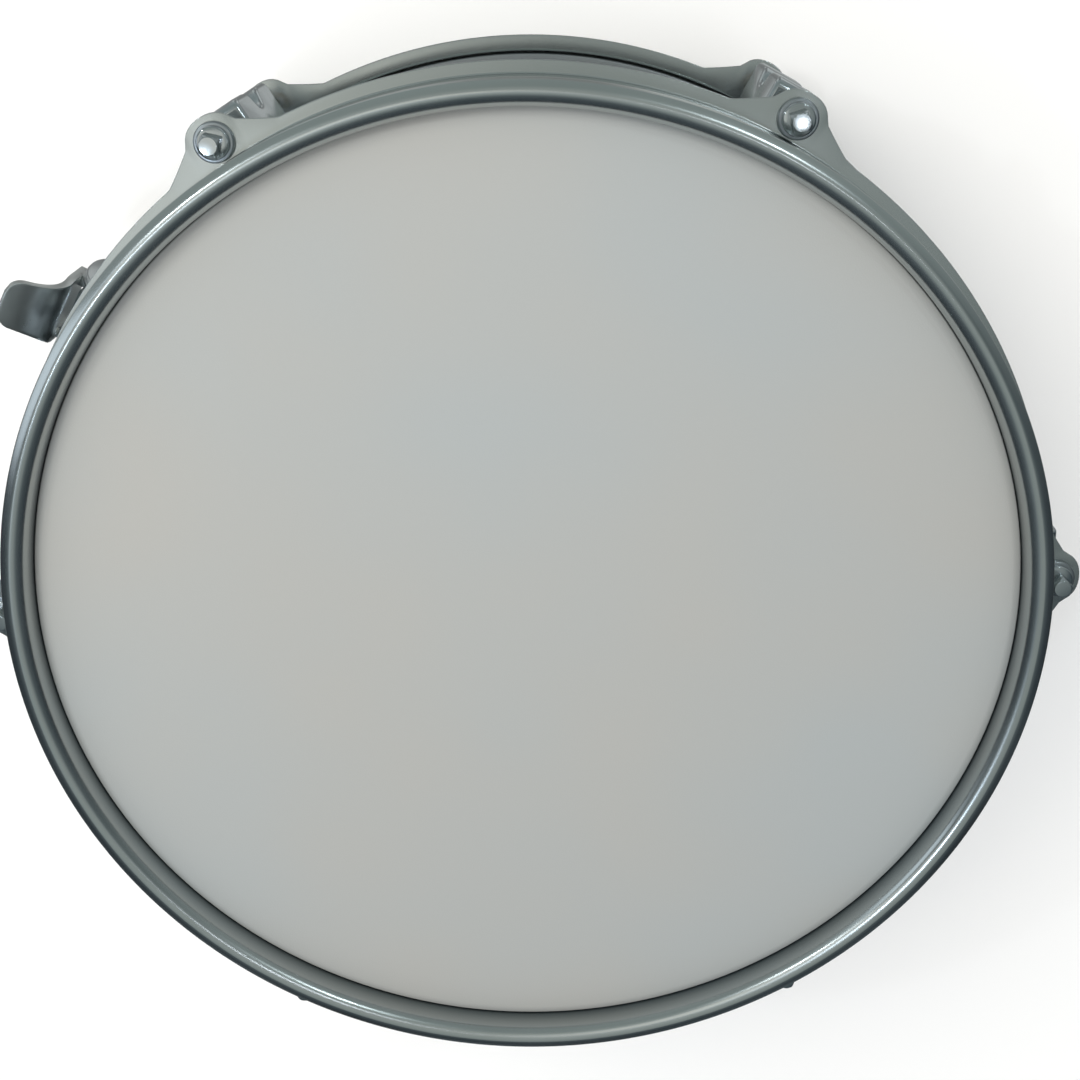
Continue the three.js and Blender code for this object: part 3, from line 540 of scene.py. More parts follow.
def makeFleshHoop(name, end):
    f = fleshSizes
    corners = [
        (f["inner"], f["bottom"], 0.6), (f["outer"], f["bottom"], 0.8), (f["outer"], f["top"], 0.8),
        (f["slotOut"], f["top"], 0.2), (f["slotOut"], f["slotFloor"], 0.2),
        (f["slotIn"], f["slotFloor"], 0.2), (f["slotIn"], f["top"], 0.2),
        (f["inner"], f["top"], 0.3)]
    hoop = spun(name + "FleshHoop", corners, f["steps"], step=30.0)
    toEnd(smooth(hoop), end)
    return dress(hoop, aluminium, "flesh_hoop", "drum", [name + "_flesh_hoop"])


# Triple-flanged hoop, section from under the flange round over the lip
hoopSizes = {
    "steps": 960, "flangeOuter": 192.55, "flangeUnder": -16.0, "flangeTop": -14.4, "fall": 0.3,
    "collarIn": 186.4, "collarOut": 188.0, "shoulderUnder": -6.0, "shoulderTop": -4.4,
    "wallIn": 179.8, "wallOut": 181.4, "crest": 11.0, "lipRadius": 5.2, "lipCrown": 186.0,
    "lipOuter": 189.0, "lipSide": 9.3, "lipTip": (188.2, 7.7), "lipInside": 185.6, "lipUnder": 9.4,
    "earTip": 205.2, "earRoot": 23.0, "earCrown": 7.5, "earNeck": (6.13, 1.3),
    "earPull": (194.2, 17.2), "earSteps": 24, "rodHole": 6.6, "drillDepth": 6.0, "gateHalf": 20.0,
    "gateFloor": 5.6, "gateCorner": 2.5, "gateReach": (172.5, 210)}


def hoopCorners():
    h = hoopSizes
    return [
        (h["collarIn"], h["flangeUnder"], 1.0), (h["collarIn"], h["shoulderUnder"], 0.7),
        (h["wallIn"], h["shoulderUnder"], 2.2), (h["wallIn"], h["crest"], h["lipRadius"]),
        (h["lipCrown"], h["crest"], 3.2), (h["lipOuter"], h["lipSide"], 0.7), (*h["lipTip"], 0.6),
        (h["lipInside"], h["lipUnder"], 1.8), (h["wallOut"], h["lipUnder"], 2.6),
        (h["wallOut"], h["shoulderTop"], 0.8), (h["collarOut"], h["shoulderTop"], 2.2),
        (h["collarOut"], h["flangeTop"], 0.7), (h["flangeOuter"], h["flangeTop"] - h["fall"], 0.3),
        (h["flangeOuter"], h["flangeUnder"] + h["fall"], 0.3)]


def earOutline():
    h = hoopSizes
    root, crown, tip = h["earRoot"], h["earCrown"], h["earTip"]
    neck = (tip - h["earNeck"][0], crown * h["earNeck"][1])
    start = (math.sqrt(h["flangeOuter"] ** 2 - root ** 2), root)
    points = [Vector(start)]
    for a, b, c in ((start, h["earPull"], neck), (neck, (tip, crown), (tip, 0.0))):
        for i in range(1, h["earSteps"] + 1):
            t = i / h["earSteps"]
            points.append(
                Vector(a) * (1 - t) ** 2 + Vector(b) * 2 * t * (1 - t) + Vector(c) * t * t)
    return [(math.degrees(math.atan2(p.y, p.x)), p.length) for p in points]


def earRadius(angle, outline):
    # How far out the flange reaches at so many degrees from the middle of an ear
    if angle >= outline[0][0]:
        return hoopSizes["flangeOuter"]
    for (a, ra), (b, rb) in zip(outline, outline[1:]):
        if b <= angle <= a:
            return ra + (rb - ra) * (a - angle) / max(a - b, 1e-9)
    return outline[-1][1]


def makeHoop(name, end):
    h = hoopSizes
    hoop = spun(name + "Hoop", hoopCorners(), h["steps"], step=15.0)
    outline = earOutline()
    pitch = 360.0 / places["stations"]
    for vertex in hoop.data.vertices:
        reach = math.hypot(vertex.co.x, vertex.co.y) * 1000
        if reach < h["flangeOuter"] - 0.7 or vertex.co.z * 1000 > h["flangeTop"] + 0.2:
            continue
        angle = math.degrees(math.atan2(vertex.co.y, vertex.co.x)) % pitch
        wanted = earRadius(min(angle, pitch - angle), outline)
        scale = (reach + wanted - h["flangeOuter"]) / reach
        vertex.co.x *= scale
        vertex.co.y *= scale
    drills = []
    for i in range(places["stations"]):
        angle = math.radians(stationAngle(i))
        spotX, spotY = places["rodCircle"] * math.cos(angle), places["rodCircle"] * math.sin(angle)
        middle = (h["flangeUnder"] + h["flangeTop"]) / 2
        drills.append(
            drill("earDrill", metres(spotX, spotY, middle), h["rodHole"], h["drillDepth"], 40))
    for azimuth in end["gates"]:
        opening = panel(h["gateHalf"] * 2, h["flangeUnder"] - 3, h["gateFloor"], h["gateCorner"])
        gate = plate("front", "gateCutter", opening, *h["gateReach"])
        drills.append(turn(gate, -azimuth))
    carve(hoop, joinAll("hoopCutter", drills))
    toEnd(smooth(hoop), end)
    return dress(hoop, hoopChrome, "hoop", "drum", [name + "_hoop"])


# Tension rod: square key head on a round flange, rolled thread on the lower part
rodSizes = {
    "radius": 2.9, "core": 2.45, "seat": -12.5, "flange": 5.75, "flangeTop": -10.7, "end": -54.5,
    "head": 6.35, "headTop": -3.2, "threadFrom": -24.0, "pitch": 1.06, "steps": 48}


def threadRidge(name, core, radius, pitch, bottom, top, axisX, steps=20):
    turns = int((top - bottom) / pitch)
    line = [
        metres(core - 0.1, 0, bottom), metres(radius, 0, bottom + pitch * 0.42),
        metres(radius, 0, bottom + pitch * 0.52), metres(core - 0.1, 0, bottom + pitch * 0.94)]
    ridge = drawLine(name, line)
    endEdit()
    applyModifier(
        ridge, "SCREW", axis="Z", angle=math.tau, screw_offset=pitch / 1000, iterations=turns,
        steps=steps, render_steps=steps, use_merge_vertices=False)
    startEdit(ridge)
    bpy.ops.mesh.fill_holes(sides=8)
    tidyFaces(0.001)
    endEdit()
    ridge.location = metres(axisX, 0, 0)
    return settle(ridge)


def makeRodParts():
    r = rodSizes
    x = places["rodCircle"]
    corners = [
        (0, r["end"], 0), (r["core"] - 0.7, r["end"], 0.2), (r["core"], r["end"] + 0.9, 0.2),
        (r["core"], r["threadFrom"] - 1, 0.2), (r["radius"], r["threadFrom"], 0.2),
        (r["radius"], r["seat"], 0.2), (r["flange"], r["seat"], 0.35),
        (r["flange"], r["flangeTop"], 0.7), (r["head"] / 2, r["flangeTop"] + 0.25, 0.2),
        (0, r["flangeTop"] + 0.25, 0)]
    shaft = spun("rodShaft", corners, r["steps"], axisX=x, step=20.0)
    ridge = threadRidge(
        "rodThread", r["core"], r["radius"], r["pitch"], r["end"] + 1.2, r["threadFrom"] - 1, x)
    corner = r["head"] / math.sqrt(2)
    bar = [
        Vector((x + corner, 0)), Vector((x, corner)), Vector((x - corner, 0)), Vector((x, -corner))]
    head = plate("top", "rodHead", bar, r["flangeTop"] - 0.5, r["headTop"])
    turned = [
        (0, r["flangeTop"] - 1, 0), (corner - 0.25, r["flangeTop"] - 1, 0),
        (corner - 0.25, r["headTop"] - 1.3, 0.3), (r["head"] / 2 - 0.1, r["headTop"], 0.4),
        (0, r["headTop"], 0)]
    carve(head, spun("headTurning", turned, r["steps"], axisX=x), "INTERSECT")
    roundEdges(head, 0.18, 2, 30)
    return joinAll("tensionRod", [shaft, ridge, head])


washerSizes = {"inner": 3.1, "outer": 7.0, "bottom": -14.4, "top": -12.55}


def makeWasher():
    w = washerSizes
    corners = [
        (w["inner"], w["bottom"], 0.2), (w["outer"], w["bottom"], 0.45),
        (w["outer"], w["top"], 0.6), (w["inner"], w["top"], 0.3)]
    return spun("washer", corners, 56, axisX=places["rodCircle"], step=22.5)


def addFittings(name, end, rodMaster, washerMaster):
    for i in range(places["stations"]):
        ownBody = f"{name}_rod_body_{i + 1}"
        for master, kind, metal, body in ((rodMaster, "rod", screwChrome, ownBody),
                                          (washerMaster, "washer", zincSteel, "drum")):
            piece = turn(copyOf(master, f"{name}{kind.title()}{i + 1}"), stationAngle(i))
            dress(smooth(toEnd(piece, end)), metal, kind, body, [f"{name}_{kind}_{i + 1}"])


rodMaster = makeRodParts()
washerMaster = makeWasher()
for endName, endData in ends.items():
    makeHead(endName, endData)
    makeFleshHoop(endName, endData)
    makeHoop(endName, endData)
    addFittings(endName, endData, rodMaster, washerMaster)
    print(endName, "end done")
bpy.data.objects.remove(rodMaster)
bpy.data.objects.remove(washerMaster)

# Screws through the shell, their heads inside it
studSizes = {
    "head": 4.0, "headHeight": 2.2, "inside": 175.3, "shank": 2.2, "washer": 5.6,
    "washerHeight": 0.7, "reach": 178.0, "crossLong": 3.6, "crossWide": 0.9}


def shellScrew(height):
    s = studSizes
    back, washer, reach = s["inside"], s["inside"] - s["washerHeight"], s["reach"]
    top = back - s["headHeight"]
    corners = [
        (0, top - 0.5, 0), (s["head"] * 0.7, top - 0.35, 1.2), (s["head"], back - 1.6, 0.8),
        (s["head"], washer, 0.2), (s["washer"], washer, 0.2), (s["washer"], back, 0.2),
        (s["shank"], back, 0), (s["shank"], reach, 0), (0, reach, 0)]
    screw = spunOutwards("shellScrew", corners, 32, height=height, step=20.0)
    long, narrow = s["crossLong"], s["crossWide"]
    for tall, wide in ((long, narrow), (narrow, long)):
        low = (top - 2, -wide / 2, height - tall / 2)
        high = (top + 0.6, wide / 2, height + tall / 2)
        carve(screw, block("slotCutter", low, high, 0))
    return screw


lugSizes = {
    "half": 30.0, "width": 17.0, "back": 176.1, "front": 204.5, "waist": 197.5, "endHeight": 17.0,
    "corner": 3.4, "edge": 1.9, "neck": 9.6, "drillDepth": 6.0, "pocket": 6.3, "endWall": 2.6,
    "pocketDepth": 13.3, "screwSpacing": 16.0}


def makeLug():
    g = lugSizes
    half, start = g["half"], g["half"] - g["endHeight"]
    pull = g["endHeight"] / 2
    rods = places["rodCircle"]
    top = bezier(
        (g["waist"], 0), (g["waist"], pull), (g["front"], start - pull), (g["front"], start), 14)
    upper = top + rounded(
        [(g["front"], start), (g["front"], half, g["corner"]), (g["back"], half)], 9.0,
        closed=False)[1:]
    lower = [Vector((p.x, -p.y)) for p in reversed(upper)]
    points = lower + [Vector((g["waist"], 0))] + upper
    lug = plate("side", "lugCasing", points, -g["width"] / 2, g["width"] / 2)
    roundEdges(lug, g["edge"], 5, 60)
    cutters = []
    for way in (1, -1):
        low, high = onSide(way, half - g["endWall"], half - g["endWall"] - g["pocketDepth"])
        inner, outer = (g["back"] - 2, -g["pocket"], low), (rods + g["pocket"], g["pocket"], high)
        cutters.append(block("pocketCutter", inner, outer, 0))
        cutters.append(drill("neckDrill", metres(rods, 0, way * half), g["neck"], g["drillDepth"]))
    for cutter in cutters:
        carve(lug, cutter)
    smooth(lug, 30)
    screws = [smooth(shellScrew(way * g["screwSpacing"] / 2)) for way in (1, -1)]
    lug = joinAll("lugCasing", [lug, *screws])
    lug.location = metres(0, 0, places["shellMiddle"])
    return settle(lug)


nutSizes = {"bore": 3.1, "neck": 4.5, "collar": 6.0, "top": 30.8, "shoulder": 27.3, "length": 13.0}


def makeNut():
    n = nutSizes
    corners = [
        (n["bore"], n["top"] - n["length"], 0.2), (n["collar"], n["top"] - n["length"], 0.5),
        (n["collar"], n["shoulder"], 0.5), (n["neck"], n["shoulder"], 0.3),
        (n["neck"], n["top"], 0.8), (n["bore"], n["top"], 0.5)]
    return spun("swivelNut", corners, 48, axisX=places["rodCircle"], step=22.5)


lugMaster = makeLug()
nutMaster = makeNut()
for i in range(places["stations"]):
    lug = turn(copyOf(lugMaster, f"lugCasing{i + 1}"), stationAngle(i))
    dress(lug, castChrome, "casting", "drum", [f"lug_casing_{i + 1}"])
    for endName, endData in ends.items():
        nut = copyOf(nutMaster, f"{endName}Nut{i + 1}")
        if endData["way"] < 0:
            nut.rotation_euler = (math.pi, 0, 0)
            settle(nut)
        turn(nut, stationAngle(i), places["shellMiddle"])
        dress(smooth(nut), brass, "nut", "drum", [f"{endName}_swivel_nut_{i + 1}"])
bpy.data.objects.remove(lugMaster)
bpy.data.objects.remove(nutMaster)
print("lugs done")

strainerSizes = {
    "plateFace": 179.92, "plateBack": 173.0, "plateWidth": 48.0, "plateLow": 43.0,
    "plateHigh": 100.0, "plateCorner": 5.0, "channel": 14.6, "cheek": 4.0, "cheekLow": 51.0,
    "cheekHigh": 95.0, "front": 202.4, "pivotX": 195.0, "pivotZ": 63.0, "pin": 2.2, "pinHead": 1.3,
    "hub": 5.0, "screwLow": 60.0, "screwHigh": 94.0, "railBack": 183.9,
    "railReach": 2.6, "edge": 0.8, "rim": 1.1, "sunk": 1.75,
}


def shellCutter():
    s = shellSizes
    radius = s["radius"] - 0.05
    corners = [
        (0, s["bottom"], 0), (radius, s["bottom"], 0), (radius, s["top"], 0), (0, s["top"], 0)]
    return spun("shellCutter", corners, s["steps"])


# A back plate lies against the shell, hollowed to its curve
def backPlate(name, width, low, high, corner):
    s = strainerSizes
    back = plate("front", name, panel(width, low, high, corner), s["plateBack"], s["plateFace"])
    roundEdges(back, s["rim"], 4)
    return smooth(carve(back, shellCutter()))


# A tongue reaches outwards from the back of a casting, its two front corners rounded
def tongue(name, reach, half, corner, low, high):
    root = carriageSizes["back"] + 1
    corners = [(root, -half, 0), (reach, -half, corner), (reach, half, corner), (root, half, 0)]
    return roundEdges(plate("top", name, rounded(corners), low, high), 0.5, 2, 60)


def cheekOutline():
    s = strainerSizes
    back, front = s["plateFace"] - s["sunk"], s["front"]
    depth = front - s["plateFace"]
    low = s["cheekLow"] + 2
    points = [Vector((back, s["cheekLow"]))]
    points += bezier(
        (s["pivotX"], low), (front - 2.5, low), (front, s["pivotZ"] - 4),
        (front, s["pivotZ"] + s["hub"]), 12)
    points.insert(1, Vector((s["pivotX"], low)))
    points += bezier(
        (front, s["pivotZ"] + s["hub"]), (front, s["cheekHigh"] - s["hub"]),
        (front - depth / 3, s["cheekHigh"]), (s["plateFace"] + depth / 4, s["cheekHigh"]), 18)
    points.append(Vector((back, s["cheekHigh"] + s["hub"] / 2)))
    return points


def makeHousing():
    s = strainerSizes
    parts = [
        backPlate("housingPlate", s["plateWidth"], s["plateLow"], s["plateHigh"], s["plateCorner"])]
    for way in (1, -1):
        y0, y1 = onSide(way, s["channel"], s["channel"] + s["cheek"])
        cheek = plate("side", "housingCheek", cheekOutline(), y0, y1)
        parts.append(smooth(roundEdges(cheek, s["edge"], 3, 50)))
        y0, y1 = onSide(way, s["channel"] - s["railReach"], s["channel"] + 1)
        low, high = s["cheekLow"] + 2, s["cheekHigh"] - s["hub"]
        rail = block("housingRail", (s["railBack"], y0, low), (s["railBack"] + 2, y1, high))
        parts.append(smooth(rail))
    reach = s["channel"] + s["cheek"]
    corners = [
        (0, -reach - s["pinHead"]), (s["pin"] + 0.6, -reach - s["pinHead"], 0.9),
        (s["pin"] + 1.2, -reach, 0), (s["pin"], -reach, 0), (s["pin"], reach, 0),
        (s["pin"] + 1.2, reach, 0), (s["pin"] + 0.6, reach + s["pinHead"], 0.9),
        (0, reach + s["pinHead"])]
    line = [metres(p.x, p.y, 0) for p in rounded(corners, 20.0, False)]
    pin = spinLine("pivotPin", line, 32, False, (0, 0, 0), (0, 1, 0))
    pin.location = metres(s["pivotX"], 0, s["pivotZ"])
    parts.append(smooth(settle(pin)))
    for height in (s["screwLow"], s["screwHigh"]):
        parts.append(smooth(shellScrew(height)))
    putUp(
        "strainerHousing", parts, places["strainer"], castChrome, "casting", "drum",
        ["strainer_housing"])


leverSizes = {
    "front": 203.0, "sheet": 3.2, "half": 14.0, "tipHalf": 9.5, "foot": 65.0, "bend": 86.0,
    "tipZ": 103.0, "tipX": 223.0, "rounding": 6.0, "cam": 4.5, "camLift": 12.0,
    "camRear": (162, 306), "throw": 7.0, "travel": 100.0, "rows": 44, "columns": 16, "edge": 0.9}


def leverHalfWidth(z):
    v = leverSizes
    turnZ = v["bend"] - v["rounding"]
    if z <= turnZ:
        return v["half"]
    share = min(1.0, (z - turnZ) / (v["tipZ"] - turnZ))
    eased = share * share * (3 - 2 * share)
    return v["half"] + (v["tipHalf"] - v["half"]) * eased


def leverPath():
    v = leverSizes
    middle = (v["bend"] + v["tipZ"]) / 2
    curve = bezier(
        (v["front"], v["bend"]), (v["front"], middle),
        ((v["front"] + v["tipX"]) / 2, v["tipZ"] - v["sheet"]),
        (v["tipX"] - v["sheet"] / 2, v["tipZ"]), 64)
    start, rise = v["foot"], v["bend"] - v["foot"]
    line = [Vector((v["front"], start + rise * i / 32)) for i in range(33)] + curve
    lengths = [0.0]
    for a, b in zip(line, line[1:]):
        lengths.append(lengths[-1] + (b - a).length)
    rows = []
    for i in range(v["rows"] + 1):
        want = lengths[-1] * i / v["rows"]
        k = max(j for j in range(len(lengths)) if lengths[j] <= want + 1e-9)
        k = min(k, len(line) - 2)
        share = (want - lengths[k]) / (lengths[k + 1] - lengths[k])
        rows.append((line[k].lerp(line[k + 1], share), lengths[-1] - want))
    return rows


def makeLeverBlade():
    v = leverSizes
    bpy.ops.object.select_all(action="DESELECT")
    bpy.ops.mesh.primitive_grid_add(x_subdivisions=v["rows"], y_subdivisions=v["columns"], size=1)
    blade = freshPiece("leverBlade")
    rows = leverPath()
    startEdit(blade, "DESELECT")
    for index, (point, toTip) in enumerate(rows):
        mesh = bmesh.from_edit_mesh(blade.data)
        across = index / v["rows"] - 0.5
        for vertex in mesh.verts:
            vertex.select_set(abs(vertex.co.x - across) < 0.2 / v["rows"] and vertex.co.z == 0)
        bmesh.update_edit_mesh(blade.data)
        half = leverHalfWidth(point.y)
        if toTip < v["rounding"]:
            half -= v["rounding"] - math.sqrt(
                max(v["rounding"] ** 2 - (v["rounding"] - toTip) ** 2, 0))
        bpy.ops.transform.resize(value=(1, half * 2 / 1000, 1), center_override=(0, 0, 0))
        bpy.ops.transform.translate(value=(point.x / 1000 - across, 0, point.y / 1000))
        bpy.ops.mesh.select_all(action="DESELECT")
    bpy.ops.mesh.select_all(action="SELECT")
    bpy.ops.mesh.normals_make_consistent(inside=False)
    endEdit()
    return blade


def makeLever():
    v, s = leverSizes, strainerSizes
    blade = makeLeverBlade()
    # The sheet grows outwards, away from the shell
    outward = sum((face.normal.x for face in blade.data.polygons)) > 0
    applyModifier(blade, "SOLIDIFY", thickness=v["sheet"] / 1000, offset=1.0 if outward else -1.0)
    roundEdges(blade, v["edge"], 3, 60)
    parts = [smooth(blade, 50)]
    rate = v["throw"] / math.radians(v["travel"])
    cam = []
    for i in range(25):
        angle = math.radians(v["travel"]) * i / 24
        height = v["camLift"] - rate * angle
        x = s["pivotX"] + rate * math.cos(angle) - height * math.sin(angle)
        z = s["pivotZ"] + rate * math.sin(angle) + height * math.cos(angle)
        cam.append(Vector((x, z)))
    rearStart, rearEnd = v["camRear"]
    for i in range(17):
        angle = math.radians(rearStart + (rearEnd - rearStart) * i / 16)
        x, z = s["pivotX"] + s["hub"] * math.cos(angle), s["pivotZ"] + s["hub"] * math.sin(angle)
        cam.append(Vector((x, z)))
    face = v["front"] + v["sheet"] / 2
    cam += [Vector((face, v["foot"])), Vector((face, s["pivotZ"] + v["camLift"]))]
    for way in (1, -1):
        y0, y1 = onSide(way, v["half"], v["half"] - v["cam"])
        parts.append(smooth(roundEdges(plate("side", "leverCam", cam, y0, y1), 0.5, 2, 60), 45))
    putUp(
        "strainerLever", parts, places["strainer"], wornChromeWithPaintedSheen, "casting", "lever",
        ["strainer_lever"])


carriageSizes = {
    "back": 180.22, "front": 183.62, "half": 14.3, "low": 67.0, "high": 91.0, "shelfHalf": 11.6,
    "shelfReach": 201.0, "shelfLow": 75.3, "shelfHigh": 79.9, "tower": 4.6, "towerTop": 97.0,
    "screwX": 189.42, "screw": 2.0}


def makeCarriage():
    c = carriageSizes
    slab = block(
        "carriageSlab", (c["back"], -c["half"], c["low"]), (c["front"], c["half"], c["high"]), 0.6,
        3)
    shelf = tongue(
        "carriageShelf", c["shelfReach"], c["shelfHalf"], 3.0, c["shelfLow"], c["shelfHigh"])
    towerCorners = [
        (2.2, c["shelfHigh"] - 2, 0), (c["tower"] + 1.6, c["shelfHigh"] - 0.2, 0),
        (c["tower"], c["shelfHigh"] + 1.8, 1.5), (c["tower"], c["towerTop"], 0.7),
        (2.2, c["towerTop"], 0.3)]
    tower = spun("carriageTower", towerCorners, 48, axisX=c["screwX"])
    webCorners = [
        (c["front"] - 0.5, c["shelfHigh"] - 0.5), (c["screwX"], c["shelfHigh"] - 0.5),
        (c["screwX"] - 2.5, c["high"] - 1), (c["front"] - 0.5, c["high"] - 1)]
    web = roundEdges(
        plate("side", "carriageWeb", [Vector(p) for p in webCorners], -1.6, 1.6), 0.4, 2)
    putUp(
        "strainerCarriage", [smooth(part) for part in (slab, shelf, tower, web)],
        places["strainer"], castChrome, "casting", "carriage", ["strainer_carriage"])


knobSizes = {
    "neckLow": 97.3, "neck": 5.5, "gripLow": 98.9, "gripHigh": 107.3, "radius": 7.5, "flute": 0.75,
    "flutes": 16, "chamfer": 0.9, "screwEnd": 52.6, "core": 1.68, "threadPitch": 0.7,
    "dishRim": 1.2, "dish": 0.6, "dishShare": 0.93}


def makeKnob():
    k, c = knobSizes, carriageSizes
    x = c["screwX"]
    outline = []
    for i in range(k["flutes"] * 8):
        angle = math.tau * i / (k["flutes"] * 8)
        wave = (1 - math.cos(angle * k["flutes"])) / 2
        radius = k["radius"] - k["flute"] * wave ** 1.6
        outline.append(Vector((x + radius * math.cos(angle), radius * math.sin(angle))))
    grip = roundEdges(
        plate("top", "knobGrip", outline, k["gripLow"], k["gripHigh"]), k["chamfer"], 3, 60)
    startEdit(grip, "DESELECT")
    mesh = bmesh.from_edit_mesh(grip.data)
    for face in mesh.faces:
        top = face.calc_center_median().z * 1000 > k["gripHigh"] - 0.01 and face.normal.z > 0.9
        face.select_set(top)
    bmesh.update_edit_mesh(grip.data)
    bpy.ops.mesh.inset(thickness=k["dishRim"] / 1000)
    bpy.ops.mesh.extrude_region_move(TRANSFORM_OT_translate={"value": metres(0, 0, -k["dish"])})
    bpy.ops.transform.resize(
        value=(k["dishShare"], k["dishShare"], 1), center_override=metres(x, 0, k["gripHigh"]))
    endEdit()
    corners = [
        (0, k["screwEnd"], 0), (k["core"] - 0.4, k["screwEnd"], 0),
        (k["core"], k["screwEnd"] + 0.5, 0), (k["core"], k["neckLow"], 0),
        (k["neck"], k["neckLow"], 0.4), (k["neck"], k["gripLow"] + 1, 0), (0, k["gripLow"] + 1, 0)]
    stem = spun("knobStem", corners, 32, axisX=x, step=20.0)
    ridge = threadRidge(
        "knobThread", k["core"], c["screw"], k["threadPitch"], k["screwEnd"] + 0.6,
        k["neckLow"] - 6, x, 16)
    putUp(
        "tensionKnob", [smooth(part) for part in (grip, stem, ridge)], places["strainer"],
        screwChrome, "casting", "knob", ["tension_knob"])


clampSizes = {
    "low": 37.0, "high": 47.0, "blockHigh": 59.0, "seat": 186.8, "noseLow": 49.2, "noseHigh": 57.2,
    "noseHalf": 6.0, "noseFront": 193.9, "plateBack": 187.9, "plateFront": 190.3, "width": 29.6,
    "corner": 2.5, "screwY": 11.0, "screwHead": 2.6, "screwShank": 1.4, "screwRise": 1.7,
    "slotHalf": 0.35, "edge": 0.5}


def clampScrews(fromX):
    p = clampSizes
    screws = []
    face, head, middle = p["plateFront"], p["screwHead"], (p["low"] + p["high"]) / 2
    corners = [
        (0, fromX, 0), (p["screwShank"], fromX, 0), (p["screwShank"], face - 0.3, 0),
        (head, face - 0.3, 0), (head, face + 0.6, 0.3), (head * 0.6, face + p["screwRise"], 0.8),
        (0, face + p["screwRise"], 0)]
    for way in (1, -1):
        aside = way * p["screwY"]
        screw = spunOutwards("clampScrew", corners, 32, height=middle, aside=aside, step=20.0)
        low = (face + 0.9, aside - p["slotHalf"], middle - 4)
        high = (face + 3, aside + p["slotHalf"], middle + 4)
        screws.append(smooth(carve(screw, block("slotCutter", low, high, 0))))
    return screws


def clampPlate():
    p = clampSizes
    front = plate(
        "front", "clampPlate", panel(p["width"], p["low"], p["high"], p["corner"]), p["plateBack"],
        p["plateFront"])
    return smooth(roundEdges(front, p["edge"], 3, 60))


def makeClamp():
    p, c = clampSizes, carriageSizes
    slab = block(
        "clampSlab", (c["back"], -c["half"], p["low"]), (c["front"], c["half"], p["blockHigh"]),
        0.6, 3)
    seat = block(
        "clampSeat", (c["back"] + 1, -c["half"], p["low"]), (p["seat"], c["half"], p["high"]), 0.6,
        3)
    nose = tongue("clampNose", p["noseFront"], p["noseHalf"], 3.5, p["noseLow"], p["noseHigh"])
    putUp(
        "clampBlock", [smooth(part) for part in (slab, seat, nose)], places["strainer"], castChrome,
        "casting", "clamp", ["strainer_clamp_block"])
    putUp(
        "clampPlateAndScrews", [clampPlate(), *clampScrews(p["seat"] - 3)], places["strainer"],
        castChrome, "casting", "clamp", ["strainer_clamp_plate"])


makeHousing()
makeLever()
makeCarriage()
makeKnob()
makeClamp()
print("strainer done")

buttSizes = {"width": 37.6, "high": 67.0, "screw": 58.0, "seatEnd": 54.0, "corner": 5.0}


def makeButt():
    b, p, s = buttSizes, clampSizes, strainerSizes
    back = backPlate("buttBack", b["width"], p["low"], b["high"], b["corner"])
    inside = s["plateFace"] - s["sunk"]
    seat = [
        Vector((inside, p["low"])), Vector((p["seat"], p["low"])), Vector((p["seat"], p["high"]))]
    seat += bezier(
        (p["seat"], p["high"]), (p["seat"] - 3.4, p["high"]), (s["plateFace"] + 0.4, p["high"] + 2),
        (s["plateFace"], b["seatEnd"]), 14)
    seat.append(Vector((inside, b["seatEnd"])))
    foot = roundEdges(plate("side", "buttSeat", seat, -p["width"] / 2, p["width"] / 2), 0.7, 3, 50)
    parts = [
        back, smooth(foot), clampPlate(), *clampScrews(p["seat"] - 1),
        smooth(shellScrew(b["screw"]))]
    putUp("buttPlate", parts, places["butt"], castChrome, "casting", "drum", ["butt_plate"])


makeButt()

strapSizes = {
    "width": 18.0, "thickness": 0.5, "start": 156.0, "under": 7.5, "face": 187.1, "bend": 3.6,
    "end": 46.0, "cuts": (12, 46, 3), "blendFrom": 4.0}


def makeStrap(name, azimuth, node, blended):
    t = strapSizes
    outer = t["face"] + t["thickness"]
    corners = [
        (t["start"], t["under"]), (outer, t["under"], t["bend"]), (outer, t["end"]),
        (t["face"], t["end"]), (t["face"], t["under"] + t["thickness"], t["bend"] - t["thickness"]),
        (t["start"], t["under"] + t["thickness"])]
    points = rounded(corners, 9.0)
    strap = plate("side", name, points, -t["width"] / 2, t["width"] / 2)
    startEdit(strap)
    for level in range(*t["cuts"]):
        bpy.ops.mesh.select_all(action="SELECT")
        bpy.ops.mesh.bisect(plane_co=metres(0, 0, level), plane_no=(0, 0, 1))
    endEdit()
    turn(smooth(strap), azimuth)
    if blended:
        dress(strap, tape, "strap", None, [node])
        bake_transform(strap)
        return strap
    return dress(strap, tape, "strap", "drum", [node])


makeStrap("strainerStrap", places["strainer"], "strainer_strap", True)
makeStrap("buttStrap", places["butt"], "butt_strap", False)

wireSizes = {
    "strands": 20, "spacing": 2.3, "coil": 1.1, "wire": 0.25, "pitch": 1.7, "level": 9.6,
    "half": 165.0, "plateLength": 12.0, "plateUnder": 8.3, "plateTop": 9.6, "plateHalf": 24.35,
    "plateSunk": 0.7, "plateEdge": 0.25, "seam": (3, 8), "seamHalf": 23.15, "seamUnder": 0.8,
    "seamOver": 0.9, "seamEdge": 0.8, "stepsPerTurn": 9, "sides": 5, "twist": 37}


